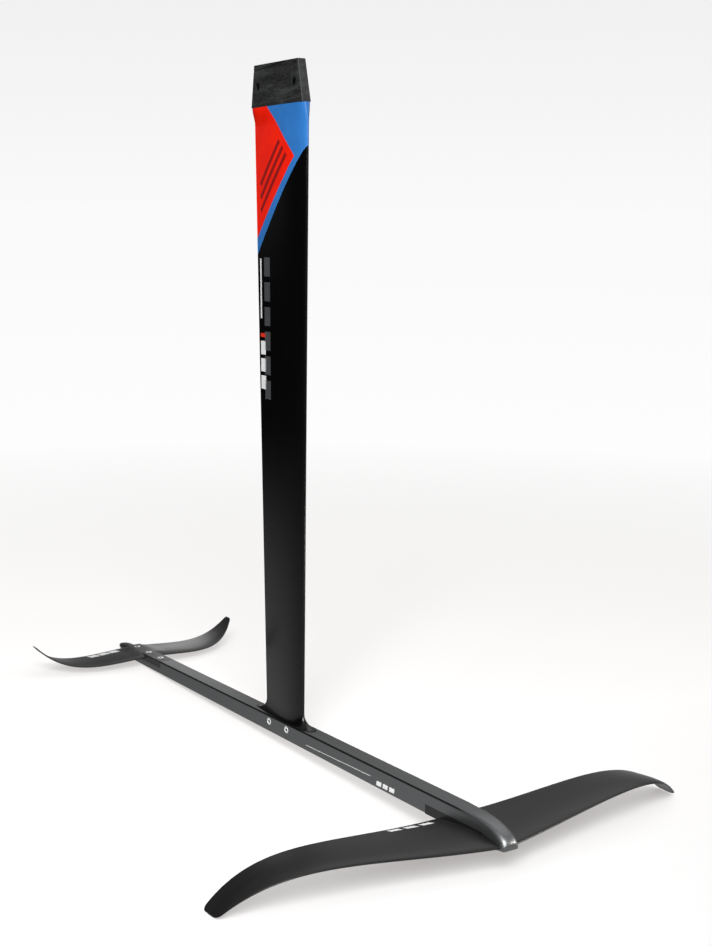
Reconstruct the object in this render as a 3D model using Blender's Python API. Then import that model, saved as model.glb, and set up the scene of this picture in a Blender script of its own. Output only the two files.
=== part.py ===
"""Race hydrofoil: mast with board head, fuselage, front wing, tail wing and their fasteners.

Metres, +Z up. The nose points to -Y, the wings span X and are symmetric about X = 0.
Z = 0 is the level of the front wing's two tips, and Y = 0 is half way along the fuselage.
"""
import math

import bmesh
import bpy
from mathutils import Matrix, Vector

# ---- driving dimensions -----------------------------------------------------------------------
GAP = 0.0003                  # clearance between two pieces that touch
FUSE_TOP = 0.0612             # height of the fuselage's flat top face
FUSE_WIDTH = 0.028
FUSE_HEIGHT_FRONT = 0.0322
FUSE_HEIGHT_REAR = 0.0217
FUSE_CHAMFER = 0.0015
NOSE_Y = -0.5822
NOSE_LENGTH = 0.074           # stretch over which the top face curves down to the nose tip
NOSE_TIP_Z = 0.0370
NOSE_BOTTOM_Z = 0.0310
NOSE_POWER = 2.2              # squareness of the nose's side view
NOSE_NARROWING = 0.14
FUSE_REAR_Y = 0.5293
MAST_Y = -0.0182              # the mast's mid chord

MAST_LENGTH = 0.950           # from the fuselage's top face to the head
MAST_CHORD_BASE = 0.110
MAST_CHORD_TOP = 0.1545
MAST_THICKNESS = 0.016
MAST_WALL = 0.0025
BASE_FLARE_HEIGHT = 0.020
BASE_FLARE_CHORD = 0.063
BASE_FLARE_THICKNESS = 0.010
BASE_BAR_SHARE = 0.35         # how far the base's outline goes from a foil to a bar
COLLAR_HEIGHT = 0.030
COLLAR_LENGTH = 0.154
COLLAR_THICKNESS = 0.0170
COLLAR_SHIFT = 0.0015         # the collar's middle, behind the mast's mid chord
SPIGOT_LENGTH = 0.045         # how far the foot and the head reach into the mast

HEAD_HEIGHT = 0.0630
HEAD_BASE_ENDS = (-0.0726, 0.0755)     # front and rear face, from the mast's mid chord
HEAD_TOP_ENDS = (-0.0592, 0.0678)
HEAD_THICKNESS_BOTTOM = 0.0155
HEAD_THICKNESS_TOP = 0.0140
HEAD_CORNER = 0.0012
BARREL_NUT_RADIUS = 0.0055
BARREL_NUT_HALF_LENGTH = 0.0062
BARREL_NUT_Y = {"front": -0.0480, "rear": 0.0560}    # from the mast's mid chord
BARREL_NUT_HEIGHT = 0.0310    # above the mast's end
ACCESS_SLOT_WIDTH = 0.0130
ACCESS_SLOT_DEPTH = 0.0022
ACCESS_SLOT_HEIGHT = 0.0290
HEAD_BOLT_RADIUS = 0.0044
BARREL_NUT_THREAD_RADIUS = 0.0042
BARREL_NUT_EDGE = 0.0006

FOOT_LENGTH = 0.112
FOOT_THICKNESS = 0.014
FOOT_DEPTH = 0.0200
MAST_SCREW_OFFSET = 0.02635
MAST_SCREW_DEPTH = 0.0098     # below the fuselage's top face
MAST_SCREW_SINK = 0.0002      # of the screw's face below the fuselage's side
MAST_SCREW = {"shank": 0.0025, "head": 0.0045, "length": 0.0185, "socket": 0.0018}
MAST_HOLE_RADIUS = 0.0045
SEAT_RADIUS = 0.0062          # cone seats in the fuselage's sides
SEAT_EDGE = 0.0105            # seat's outer and inner edge, from the middle plane
SEAT_FLOOR = 0.0085
WASHER_RADIUS = 0.0058
WASHER_FACE_RADIUS = 0.0052
WASHER_TAPER_RADIUS = 0.0042
WASHER_BORE = 0.0029
WASHER_EDGE = 0.0034          # depth at which the washer starts to taper
WASHER_DEPTH = 0.0049
SLEEVE_RADIUS = 0.0041
SLEEVE_BORE = 0.0028
SLEEVE_LENGTH = 0.0200
SLEEVE_EDGE = 0.0030
SLEEVE_NECK = 0.0047

FRONT_HALF_SPAN = 0.3852
FRONT_ROOT_Z = 0.0348
FRONT_TIP_Z = 0.00146
FRONT_LE = (-0.5780, 0.0822, -0.0369, 0.0396)
FRONT_TE = (-0.4450, -0.0158, 0.0012, 0.0026)
FRONT_RISE = (0.0605, -0.0615, FRONT_TIP_Z - FRONT_ROOT_Z - 0.0605 + 0.0615)
FRONT_THICKNESS = 0.098       # of the chord
TANG_REAR_Y = -0.4120
TANG_SLOPE_Y = -0.5345
TANG_FRONT_Y = -0.5700
TANG_TOP_Z = 0.0440
FRONT_SCREW_Y = (-0.428, -0.468, -0.508)
FRONT_HEAD_Z = 0.0311         # face of the front wing screws' heads
FRONT_SCREW = {"shank": 0.0040, "head": 0.0080, "length": 0.0225, "socket": 0.0030}
FRONT_INSERT = {"outer": 0.0060, "inner": 0.0043, "length": 0.0090}

TAIL_HALF_SPAN = 0.1990
TAIL_ROOT_Z = 0.0560
TAIL_LE = (0.4521, -0.0257, 0.0695, 0.0175)
TAIL_TE = (0.5379, -0.0307, 0.0540, -0.0293)
TAIL_RISE = (-0.0330, 0.0514, 0.0129)
TAIL_THICKNESS = 0.095
TONGUE_FRONT_Y = 0.3918
TONGUE_REAR_Y = 0.5273
TONGUE_THICKNESS = 0.0106
SHIM_THICKNESS = 0.0008
SHIM_MARGIN = 0.002           # shim's ends, inside the tongue's
TAIL_SCREW_Y = (0.4175, 0.4650, 0.5130)
TAIL_SCREW = {"shank": 0.0030, "head": 0.0058, "length": 0.0185, "socket": 0.0023}
TAIL_SCREW_SINK = 0.0001
TAIL_INSERT = {"outer": 0.0042, "inner": 0.0033, "length": 0.0070}
TAIL_INSERT_SINK = 0.0004
TAIL_BULB_Y = (0.5308, 0.5822)
TAIL_BULB_HALF_WIDTH = 0.0110
TAIL_BULB_HALF_HEIGHT = 0.0068
TAIL_BULB_Z = 0.0506

SEGMENTS = 24                 # round pieces
EDGE_BREAK = 0.0004           # small chamfer on screws and inserts
SCREW_POINT = 0.0008
INSERT_ROOM = 0.0006          # hole beyond an insert's inner end
CUT_REACH = 0.02              # how far a cutting shape runs past the piece it cuts
SOCKET_CORNER_ANGLE = math.pi / 3


# ---- materials --------------------------------------------------------------------------------
def make_material(name, color, roughness, metallic):
    mat = bpy.data.materials.new(name)
    mat.use_nodes = True
    shader = mat.node_tree.nodes["Principled BSDF"]
    shader.inputs["Base Color"].default_value = (*color, 1.0)
    shader.inputs["Roughness"].default_value = roughness
    shader.inputs["Metallic"].default_value = metallic
    mat.diffuse_color = (*color, 1.0)
    return mat


# ---- mesh helpers -----------------------------------------------------------------------------
def clear_scene():
    for obj in list(bpy.data.objects):
        bpy.data.objects.remove(obj, do_unlink=True)


def add_object(name, bm, mat, smooth_angle=35.0):
    bmesh.ops.recalc_face_normals(bm, faces=bm.faces)
    mesh = bpy.data.meshes.new(name)
    bm.to_mesh(mesh)
    bm.free()
    mesh.materials.append(mat)
    mesh.shade_smooth()
    mesh.set_sharp_from_angle(angle=math.radians(smooth_angle))
    obj = bpy.data.objects.new(name, mesh)
    bpy.context.collection.objects.link(obj)
    return obj


def loft(rings, closed_loop=False):
    """Skin a list of equal rings. Ends are filled unless the last ring joins the first."""
    bm = bmesh.new()
    rows = [[bm.verts.new(point) for point in ring] for ring in rings]
    pairs = list(zip(rows, rows[1:]))
    if closed_loop:
        pairs.append((rows[-1], rows[0]))
    for low, high in pairs:
        for i in range(len(low)):
            j = (i + 1) % len(low)
            bm.faces.new((low[i], low[j], high[j], high[i]))
    if not closed_loop:
        bm.faces.new(rows[0])
        bm.faces.new(rows[-1])
    return bm


def box(low, high):
    bm = bmesh.new()
    bmesh.ops.create_cube(bm, size=1.0)
    low = Vector(low)
    high = Vector(high)
    for vert in bm.verts:
        vert.co = Vector((low[k] + (vert.co[k] + 0.5) * (high[k] - low[k]) for k in range(3)))
    return bm


def prism(profile, half_width):
    """Extrude a side profile of (y, z) points across X."""
    return loft([[Vector((x, y, z)) for y, z in profile] for x in (-half_width, half_width)])


def axis_matrix(origin, direction):
    """Places local +Z along direction, with its start at origin."""
    turn = Vector((0, 0, 1)).rotation_difference(Vector(direction)).to_matrix().to_4x4()
    return Matrix.Translation(Vector(origin)) @ turn


def hex_radius(angle, corner_radius):
    """Distance from a hexagon's centre to its edge at an angle."""
    step = SOCKET_CORNER_ANGLE
    from_flat = (angle % step) - step / 2
    return corner_radius * math.cos(step / 2) / math.cos(from_flat)


def turned_rings(profile):
    """Rings of a turned piece: (radius, height), or (corner radius, height, "hex") in a socket."""
    rings = []
    for entry in profile:
        ring = []
        for i in range(SEGMENTS):
            angle = 2 * math.pi * i / SEGMENTS
            radius = hex_radius(angle, entry[0]) if len(entry) == 3 else entry[0]
            ring.append(Vector((radius * math.cos(angle), radius * math.sin(angle), entry[1])))
        rings.append(ring)
    return rings


def turned(profile, hollow=False):
    return loft(turned_rings(profile), closed_loop=hollow)


def place(obj, origin, direction):
    obj.matrix_world = axis_matrix(origin, direction)
    return obj


def cut(target, cutter_name, bm, mat, operation="DIFFERENCE"):
    """Boolean another shape into the target and keep that shape as a wire guide."""
    tool = add_object(cutter_name, bm, mat)
    tool.hide_render = True
    tool.display_type = "WIRE"
    modifier = target.modifiers.new(cutter_name, "BOOLEAN")
    modifier.operation = operation
    modifier.solver = "EXACT"
    modifier.object = tool
    return tool


def cut_round(target, cutter_name, profile, origin, direction, mat):
    return place(cut(target, cutter_name, turned(profile), mat), origin, direction)


# ---- foil sections ----------------------------------------------------------------------------
def foil_half_thickness(s):
    """Half thickness of a symmetric foil at s of its chord, 1.0 at its thickest."""
    shape = 0.2969 * math.sqrt(s) - 0.1260 * s - 0.3516 * s**2 + 0.2843 * s**3 - 0.1015 * s**4
    return shape / 0.10003 * 2


def bar_half_thickness(s):
    """Half thickness of a bar with rounded ends at s of its length, 1.0 along its middle."""
    return (1 - abs(2 * s - 1) ** 10) ** 0.35


def chord_steps(count):
    return [(1 - math.cos(math.pi * i / count)) / 2 for i in range(count + 1)]


def fuselage_height(y):
    along = (y - NOSE_Y) / (FUSE_REAR_Y - NOSE_Y)
    return FUSE_HEIGHT_FRONT + (FUSE_HEIGHT_REAR - FUSE_HEIGHT_FRONT) * along


# ---- mast -------------------------------------------------------------------------------------
def mast_ring(height, inset=0.0):
    """Section of the mast at a height above the fuselage, drawn in by inset."""
    chord = MAST_CHORD_BASE + (MAST_CHORD_TOP - MAST_CHORD_BASE) * height / MAST_LENGTH
    thickness = MAST_THICKNESS
    middle = MAST_Y
    bar = 0.0
    near_top = max(0.0, 1 - (MAST_LENGTH - height) / COLLAR_HEIGHT)
    if inset == 0.0 and height < BASE_FLARE_HEIGHT:
        up = (height - GAP) / (BASE_FLARE_HEIGHT - GAP)
        flare = 1 - math.sqrt(1 - (1 - up) ** 2)
        chord += BASE_FLARE_CHORD * flare
        thickness += BASE_FLARE_THICKNESS * flare
        bar = BASE_BAR_SHARE * flare
    if inset == 0.0 and near_top > 0:
        bar = near_top**2 * (3 - 2 * near_top)
        chord += (COLLAR_LENGTH - chord) * bar
        thickness += (COLLAR_THICKNESS - thickness) * bar
        middle += COLLAR_SHIFT * bar
    chord -= 4 * inset
    thickness -= 2 * inset
    side = []
    for s in chord_steps(12):
        half = foil_half_thickness(s) / 2 * (1 - bar) + bar_half_thickness(s) * bar
        y = (s - 0.5) * chord
        side.append((max(half, 0.06) * thickness / 2, middle + y, FUSE_TOP + height))
    ring = [Vector(point) for point in side]
    ring += [Vector((-x, y, z)) for x, y, z in reversed(side)]
    return ring


def mast_levels(bottom, top):
    """Heights at which the mast is drawn: close together in the flare and the collar."""
    flare = [BASE_FLARE_HEIGHT * (1 - math.cos(math.pi / 2 * i / 6)) for i in range(1, 7)]
    blade = [MAST_LENGTH * i / 6 for i in range(1, 6)]
    collar = [MAST_LENGTH - COLLAR_HEIGHT * (1 - i / 6) for i in range(7)]
    inner = [h for h in flare + blade + collar if bottom < h < top]
    return [bottom] + inner + [top]


def build_mast_shell(mat):
    """Carbon tube: outer skin up, inner skin down, joined at both open ends."""
    outer = [mast_ring(h) for h in mast_levels(GAP, MAST_LENGTH)]
    inner = [mast_ring(h, MAST_WALL) for h in (GAP, MAST_LENGTH / 3, MAST_LENGTH * 2 / 3, MAST_LENGTH)]
    return add_object("mast_shell", loft(outer + inner[::-1], closed_loop=True), mat, 40)


def plug_rings(bottom, top, count):
    """Rings of a piece that fills the mast's cavity with a clearance all round."""
    step = (top - bottom) / (count - 1)
    return [mast_ring(bottom + step * i, MAST_WALL + GAP) for i in range(count)]


def build_mast_core(mat):
    rings = plug_rings(SPIGOT_LENGTH + GAP, MAST_LENGTH - SPIGOT_LENGTH - GAP, 4)
    return add_object("mast_core", loft(rings), mat, 40)


def build_mast_foot(mat):
    """Block bolted in the fuselage's pocket, with a spigot bonded into the mast."""
    low = (-FOOT_THICKNESS / 2, MAST_Y - FOOT_LENGTH / 2, FUSE_TOP - FOOT_DEPTH)
    high = (FOOT_THICKNESS / 2, MAST_Y + FOOT_LENGTH / 2, FUSE_TOP)
    foot = add_object("mast_foot", box(low, high), mat)
    cut(foot, "guide_foot_spigot", loft(plug_rings(-0.004, SPIGOT_LENGTH, 3)), mat, "UNION")
    for name, side in (("front", -1), ("rear", 1)):
        origin = (-CUT_REACH, MAST_Y + side * MAST_SCREW_OFFSET, FUSE_TOP - MAST_SCREW_DEPTH)
        hole = ((MAST_HOLE_RADIUS, 0), (MAST_HOLE_RADIUS, 2 * CUT_REACH))
        cut_round(foot, f"guide_foot_hole_{name}", hole, origin, (1, 0, 0), mat)
    return foot


def head_ring(along):
    """Rectangular section of the board head, from its base at 0 to its top face at 1."""
    front, rear = (low + (high - low) * along for low, high in zip(HEAD_BASE_ENDS, HEAD_TOP_ENDS))
    half_width = (HEAD_THICKNESS_BOTTOM + (HEAD_THICKNESS_TOP - HEAD_THICKNESS_BOTTOM) * along) / 2
    corner = HEAD_CORNER
    outline = [
        (half_width, rear - corner),
        (half_width - corner, rear),
        (corner - half_width, rear),
        (-half_width, rear - corner),
        (-half_width, front + corner),
        (corner - half_width, front),
        (half_width - corner, front),
        (half_width, front + corner),
    ]
    z = FUSE_TOP + MAST_LENGTH + GAP + HEAD_HEIGHT * along
    return [Vector((x, MAST_Y + y, z)) for x, y in outline]


def barrel_nut_place(which):
    return Vector((0.0, MAST_Y + BARREL_NUT_Y[which], FUSE_TOP + MAST_LENGTH + BARREL_NUT_HEIGHT))


def build_board_head(mat):
    """Tapered block for the board's box, cross drilled for two barrel nuts."""
    head = add_object("board_head", loft([head_ring(0.0), head_ring(1.0)]), mat)
    spigot = plug_rings(MAST_LENGTH - SPIGOT_LENGTH, MAST_LENGTH + 0.005, 3)
    cut(head, "guide_head_spigot", loft(spigot), mat, "UNION")
    for which in BARREL_NUT_Y:
        centre = barrel_nut_place(which)
        hole = BARREL_NUT_RADIUS + GAP
        cross = ((hole, -CUT_REACH), (hole, CUT_REACH))
        cut_round(head, f"guide_cross_hole_{which}", cross, centre, (1, 0, 0), mat)
        bolt = ((HEAD_BOLT_RADIUS, -0.012), (HEAD_BOLT_RADIUS, 0.05))
        cut_round(head, f"guide_bolt_hole_{which}", bolt, centre, (0, 0, 1), mat)
    centre = barrel_nut_place("front")
    low = (-CUT_REACH, centre.y - ACCESS_SLOT_WIDTH / 2, centre.z)
    slot_x = ACCESS_SLOT_DEPTH - HEAD_THICKNESS_BOTTOM / 2
    high = (slot_x, centre.y + ACCESS_SLOT_WIDTH / 2, centre.z + ACCESS_SLOT_HEIGHT)
    cut(head, "guide_access_slot", box(low, high), mat)
    return head


def build_barrel_nut(which, mat):
    """Round bar across the head with a vertical thread for the board's bolt."""
    half = BARREL_NUT_HALF_LENGTH
    edge = BARREL_NUT_EDGE
    radius = BARREL_NUT_RADIUS
    profile = ((radius - edge, -half), (radius, edge - half), (radius, half - edge), (radius - edge, half))
    centre = barrel_nut_place(which)
    nut = place(add_object(f"barrel_nut_{which}", turned(profile), mat), centre, (1, 0, 0))
    thread = ((BARREL_NUT_THREAD_RADIUS, -CUT_REACH), (BARREL_NUT_THREAD_RADIUS, CUT_REACH))
    cut_round(nut, f"guide_nut_thread_{which}", thread, centre, (0, 0, 1), mat)


# ---- wings ------------------------------------------------------------------------------------
def edge_line(terms, a):
    """Distance along Y of a wing's leading or trailing edge at a of the half span."""
    return terms[0] + terms[1] * a + terms[2] * a**2 + terms[3] * a**6


def wing_ring(x, a, edges, root_z, rise, thickness, grow):
    front = edge_line(edges[0], a)
    rear = edge_line(edges[1], a)
    chord = rear - front
    z = root_z + rise[0] * a**2 + rise[1] * a**4 + rise[2] * a**8
    half_max = chord * thickness / 2
    upper = []
    lower = []
    for s in chord_steps(12):
        half = max(foil_half_thickness(s) / 2 * half_max, 0.0004) + grow
        y = front - grow + s * (chord + 2 * grow)
        upper.append(Vector((x, y, z + half)))
        lower.append(Vector((x, y, z - half * 0.85)))
    return upper + lower[::-1]


def span_steps(count):
    """Stations from tip to tip, closer together towards the tips."""
    half = [math.sin(math.pi / 2 * i / count) for i in range(count + 1)]
    return [-a for a in half[:0:-1]] + half


def wing_mesh(half_span, edges, root_z, rise, thickness, count, grow=0.0):
    rings = []
    for a in span_steps(count):
        rings.append(wing_ring(a * half_span, abs(a), edges, root_z, rise, thickness, grow))
    return loft(rings)


def front_wing_mesh(grow=0.0, count=14):
    edges = (FRONT_LE, FRONT_TE)
    return wing_mesh(FRONT_HALF_SPAN, edges, FRONT_ROOT_Z, FRONT_RISE, FRONT_THICKNESS, count, grow)


def tang_mesh(grow=0.0):
    """Root block of the front wing that is let into the fuselage's underside."""
    bottom = 0.015 if grow else FUSE_TOP - fuselage_height(TANG_REAR_Y)
    top = TANG_TOP_Z + grow
    profile = [
        (TANG_REAR_Y + grow, bottom),
        (TANG_REAR_Y + grow, top),
        (TANG_SLOPE_Y, top),
        (TANG_FRONT_Y, FRONT_ROOT_Z + 0.001 + grow),
        (TANG_FRONT_Y, bottom),
    ]
    return prism(profile, FUSE_WIDTH / 2 + grow)


def countersunk_hole(size):
    """Hole for a countersunk screw, from above its face to past its point."""
    head = size["head"] + GAP
    shank = size["shank"] + GAP
    cone = EDGE_BREAK + GAP / 3
    return ((head, -CUT_REACH / 2), (head, cone), (shank, cone + head - shank), (shank, CUT_REACH))


def build_front_wing(mat):
    wing = add_object("front_wing", front_wing_mesh(), mat, 45)
    cut(wing, "guide_tang", tang_mesh(), mat, "UNION")
    hole = countersunk_hole(FRONT_SCREW)
    for i, y in enumerate(FRONT_SCREW_Y):
        cut_round(wing, f"guide_front_hole_{i + 1}", hole, (0, y, FRONT_HEAD_Z), (0, 0, 1), mat)
    return wing


def tail_seat_z():
    """Height of the flat seat that is milled into the fuselage's rear end."""
    return FUSE_TOP - TONGUE_THICKNESS - SHIM_THICKNESS - 2 * GAP


def tongue_mesh():
    low = (-FUSE_WIDTH / 2, TONGUE_FRONT_Y, FUSE_TOP - TONGUE_THICKNESS)
    high = (FUSE_WIDTH / 2, TONGUE_REAR_Y, FUSE_TOP)
    bm = box(low, high)
    long_edges = [e for e in bm.edges if all(v.co.z > FUSE_TOP - 0.001 for v in e.verts)
                  and abs(e.verts[0].co.x - e.verts[1].co.x) < 0.001]
    bmesh.ops.bevel(bm, geom=long_edges, offset=FUSE_CHAMFER, segments=1, affect="EDGES")
    return bm


def tail_bulb_mesh():
    """Rounded block behind the tail wing that ends the foil."""
    rings = []
    start, end = TAIL_BULB_Y
    for i in range(9):
        t = i / 8
        scale = max((1 - t**3) ** 0.5, 0.15)
        ring = []
        for k in range(16):
            angle = 2 * math.pi * k / 16
            x = TAIL_BULB_HALF_WIDTH * scale * math.cos(angle)
            z = TAIL_BULB_Z + TAIL_BULB_HALF_HEIGHT * scale * math.sin(angle)
            ring.append(Vector((x, start + (end - start) * t, z)))
        rings.append(ring)
    return loft(rings)


def build_tail_wing(mat):
    edges = (TAIL_LE, TAIL_TE)
    bm = wing_mesh(TAIL_HALF_SPAN, edges, TAIL_ROOT_Z, TAIL_RISE, TAIL_THICKNESS, 11)
    wing = add_object("tail_wing", bm, mat, 45)
    cut(wing, "guide_tongue", tongue_mesh(), mat, "UNION")
    cut(wing, "guide_tail_bulb", tail_bulb_mesh(), mat, "UNION")
    hole = countersunk_hole(TAIL_SCREW)
    for i, y in enumerate(TAIL_SCREW_Y):
        cut_round(wing, f"guide_tail_hole_{i + 1}", hole, (0, y, FUSE_TOP), (0, 0, -1), mat)
    return wing


def build_tail_shim(mat):
    """Thin plate that sets the tail wing's angle."""
    low = (GAP - FUSE_WIDTH / 2, TONGUE_FRONT_Y + SHIM_MARGIN, tail_seat_z() + GAP)
    high = (FUSE_WIDTH / 2 - GAP, TONGUE_REAR_Y - SHIM_MARGIN, tail_seat_z() + GAP + SHIM_THICKNESS)
    shim = add_object("tail_shim", box(low, high), mat)
    for i, y in enumerate(TAIL_SCREW_Y):
        hole = TAIL_SCREW["shank"] + EDGE_BREAK
        profile = ((hole, -CUT_REACH), (hole, CUT_REACH))
        cut_round(shim, f"guide_shim_hole_{i + 1}", profile, (0, y, FUSE_TOP), (0, 0, 1), mat)
    return shim


# ---- fuselage ---------------------------------------------------------------------------------
def fuselage_ring(y, top, bottom, half_width):
    c = FUSE_CHAMFER
    outline = [
        (half_width, bottom + c),
        (half_width, top - c),
        (half_width - c, top),
        (c - half_width, top),
        (-half_width, top - c),
        (-half_width, bottom + c),
        (c - half_width, bottom),
        (half_width - c, bottom),
    ]
    return [Vector((x, y, z)) for x, z in outline]


def fuselage_rings():
    """Sections from the nose tip, round the curve of the nose, and along the straight bar."""
    rings = []
    nose_steps = 10
    for i in range(nose_steps):
        ahead = math.cos(math.pi / 2 * i / nose_steps)
        sunk = 1 - math.sin(math.pi / 2 * i / nose_steps)
        y = NOSE_Y + NOSE_LENGTH * (1 - ahead)
        top = NOSE_TIP_Z + (FUSE_TOP - NOSE_TIP_Z) * math.sqrt(1 - ahead**NOSE_POWER)
        flat_bottom = FUSE_TOP - fuselage_height(y)
        bottom = flat_bottom + (NOSE_BOTTOM_Z - flat_bottom) * sunk
        half_width = FUSE_WIDTH / 2 * (1 - NOSE_NARROWING * sunk**3)
        rings.append(fuselage_ring(y, top, bottom, half_width))
    for y in (NOSE_Y + NOSE_LENGTH, -0.2, 0.2, FUSE_REAR_Y):
        rings.append(fuselage_ring(y, FUSE_TOP, FUSE_TOP - fuselage_height(y), FUSE_WIDTH / 2))
    return rings


def build_fuselage(mat):
    """Bar with a mast pocket, a recess for the front wing and a seat for the tail wing."""
    body = add_object("fuselage", loft(fuselage_rings()), mat, 30)
    low = (-FOOT_THICKNESS / 2 - GAP, MAST_Y - FOOT_LENGTH / 2 - GAP, FUSE_TOP - FOOT_DEPTH - GAP)
    high = (FOOT_THICKNESS / 2 + GAP, MAST_Y + FOOT_LENGTH / 2 + GAP, FUSE_TOP + 0.01)
    cut(body, "guide_mast_pocket", box(low, high), mat)
    cut(body, "guide_front_wing_recess", front_wing_mesh(GAP), mat)
    cut(body, "guide_tang_recess", tang_mesh(GAP), mat)
    seat_low = (-CUT_REACH, TONGUE_FRONT_Y - GAP, tail_seat_z())
    seat_high = (CUT_REACH, FUSE_REAR_Y + CUT_REACH, FUSE_TOP + CUT_REACH)
    cut(body, "guide_tail_seat", box(seat_low, seat_high), mat)
    for name, side in (("front", -1), ("rear", 1)):
        half = [(MAST_HOLE_RADIUS, SEAT_FLOOR), (SEAT_RADIUS, SEAT_EDGE), (SEAT_RADIUS, CUT_REACH)]
        hole = [(radius, -x) for radius, x in reversed(half)] + half
        origin = (0, MAST_Y + side * MAST_SCREW_OFFSET, FUSE_TOP - MAST_SCREW_DEPTH)
        cut_round(body, f"guide_side_hole_{name}", hole, origin, (1, 0, 0), mat)
    for i, y in enumerate(FRONT_SCREW_Y):
        radius = FRONT_INSERT["outer"] + GAP
        top = TANG_TOP_Z + 2 * GAP + FRONT_INSERT["length"] + INSERT_ROOM
        profile = ((radius, FUSE_TOP - FUSE_HEIGHT_FRONT), (radius, top))
        cut_round(body, f"guide_front_insert_hole_{i + 1}", profile, (0, y, 0), (0, 0, 1), mat)
    for i, y in enumerate(TAIL_SCREW_Y):
        radius = TAIL_INSERT["outer"] + GAP
        bottom = tail_seat_z() - TAIL_INSERT_SINK - TAIL_INSERT["length"] - INSERT_ROOM
        profile = ((radius, bottom), (radius, FUSE_TOP))
        cut_round(body, f"guide_tail_insert_hole_{i + 1}", profile, (0, y, 0), (0, 0, 1), mat)
    return body


# ---- fasteners --------------------------------------------------------------------------------
def countersunk_screw(name, size, origin, direction, mat):
    """Countersunk socket screw. Its origin is the centre of its head's face, its shank runs on."""
    head = size["head"]
    shank = size["shank"]
    length = size["length"]
    socket = size["socket"]
    depth = (head - shank) * 0.75 + SCREW_POINT
    profile = [
        (EDGE_BREAK, depth),
        (socket, depth, "hex"),
        (socket, 0.0, "hex"),
        (head - EDGE_BREAK, 0.0),
        (head, EDGE_BREAK),
        (shank, EDGE_BREAK + head - shank),
        (shank, length - SCREW_POINT),
        (shank - SCREW_POINT, length),
    ]
    return place(add_object(name, turned(profile), mat), origin, direction)


def threaded_insert(name, size, origin, direction, mat):
    outer = size["outer"]
    inner = size["inner"]
    length = size["length"]
    profile = [
        (inner, 0.0),
        (outer - EDGE_BREAK, 0.0),
        (outer, EDGE_BREAK),
        (outer, length - EDGE_BREAK),
        (outer - EDGE_BREAK, length),
        (inner, length),
    ]
    return place(add_object(name, turned(profile, hollow=True), mat), origin, direction)


def cone_washer(name, origin, mat):
    profile = [
        (WASHER_FACE_RADIUS, 0.0),
        (WASHER_RADIUS, 0.0),
        (WASHER_RADIUS, WASHER_EDGE),
        (WASHER_TAPER_RADIUS, WASHER_DEPTH),
        (WASHER_BORE, WASHER_DEPTH),
        (WASHER_BORE, SLEEVE_EDGE),
    ]
    return place(add_object(name, turned(profile, hollow=True), mat), origin, (1, 0, 0))


def sleeve_nut(name, origin, mat):
    """Threaded sleeve with a conical head, let in from the right side."""
    profile = [
        (SLEEVE_BORE, 0.0),
        (SLEEVE_BORE, SLEEVE_LENGTH),
        (SLEEVE_RADIUS, SLEEVE_LENGTH),
        (SLEEVE_RADIUS, SLEEVE_NECK),
        (WASHER_RADIUS, SLEEVE_EDGE),
        (WASHER_RADIUS, 0.0),
    ]
    return place(add_object(name, turned(profile, hollow=True), mat), origin, (-1, 0, 0))


def build_mast_fasteners(steel, brass):
    """Screw and cone washer from the left side, sleeve nut from the right, through the foot."""
    z = FUSE_TOP - MAST_SCREW_DEPTH
    face = FUSE_WIDTH / 2
    for name, side in (("front", -1), ("rear", 1)):
        y = MAST_Y + side * MAST_SCREW_OFFSET
        countersunk_screw(f"mast_screw_{name}", MAST_SCREW, (MAST_SCREW_SINK - face, y, z), (1, 0, 0), steel)
        cone_washer(f"mast_washer_{name}", (-face, y, z), steel)
        sleeve_nut(f"mast_sleeve_nut_{name}", (face, y, z), brass)


def build_front_fasteners(steel, brass):
    for i, y in enumerate(FRONT_SCREW_Y):
        countersunk_screw(f"front_wing_screw_{i + 1}", FRONT_SCREW, (0, y, FRONT_HEAD_Z), (0, 0, 1), steel)
        threaded_insert(f"front_insert_{i + 1}", FRONT_INSERT, (0, y, TANG_TOP_Z + 2 * GAP), (0, 0, 1), brass)


def build_tail_fasteners(steel, brass):
    for i, y in enumerate(TAIL_SCREW_Y):
        face = (0, y, FUSE_TOP - TAIL_SCREW_SINK)
        countersunk_screw(f"tail_screw_{i + 1}", TAIL_SCREW, face, (0, 0, -1), steel)
        seat = (0, y, tail_seat_z() - TAIL_INSERT_SINK)
        threaded_insert(f"tail_insert_{i + 1}", TAIL_INSERT, seat, (0, 0, -1), brass)


# ---- assembly ---------------------------------------------------------------------------------
def main():
    clear_scene()
    carbon = make_material("carbon_black", (0.018, 0.019, 0.021), 0.38, 0.0)
    wing_paint = make_material("wing_grey", (0.040, 0.041, 0.043), 0.45, 0.0)
    anodised = make_material("anodised_grey", (0.085, 0.088, 0.092), 0.42, 0.9)
    raw_head = make_material("head_black", (0.020, 0.020, 0.021), 0.75, 0.0)
    foam = make_material("core_foam", (0.70, 0.66, 0.52), 0.9, 0.0)
    composite = make_material("foot_composite", (0.05, 0.05, 0.05), 0.5, 0.0)
    steel = make_material("stainless", (0.72, 0.72, 0.71), 0.25, 1.0)
    brass = make_material("insert_metal", (0.62, 0.50, 0.28), 0.35, 1.0)
    shim_plastic = make_material("shim_plastic", (0.02, 0.02, 0.02), 0.5, 0.0)

    build_fuselage(anodised)
    build_mast_shell(carbon)
    build_mast_core(foam)
    build_mast_foot(composite)
    build_board_head(raw_head)
    for which in BARREL_NUT_Y:
        build_barrel_nut(which, steel)
    build_front_wing(wing_paint)
    build_tail_wing(wing_paint)
    build_tail_shim(shim_plastic)
    build_mast_fasteners(steel, brass)
    build_front_fasteners(steel, brass)
    build_tail_fasteners(steel, brass)


main()
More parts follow.
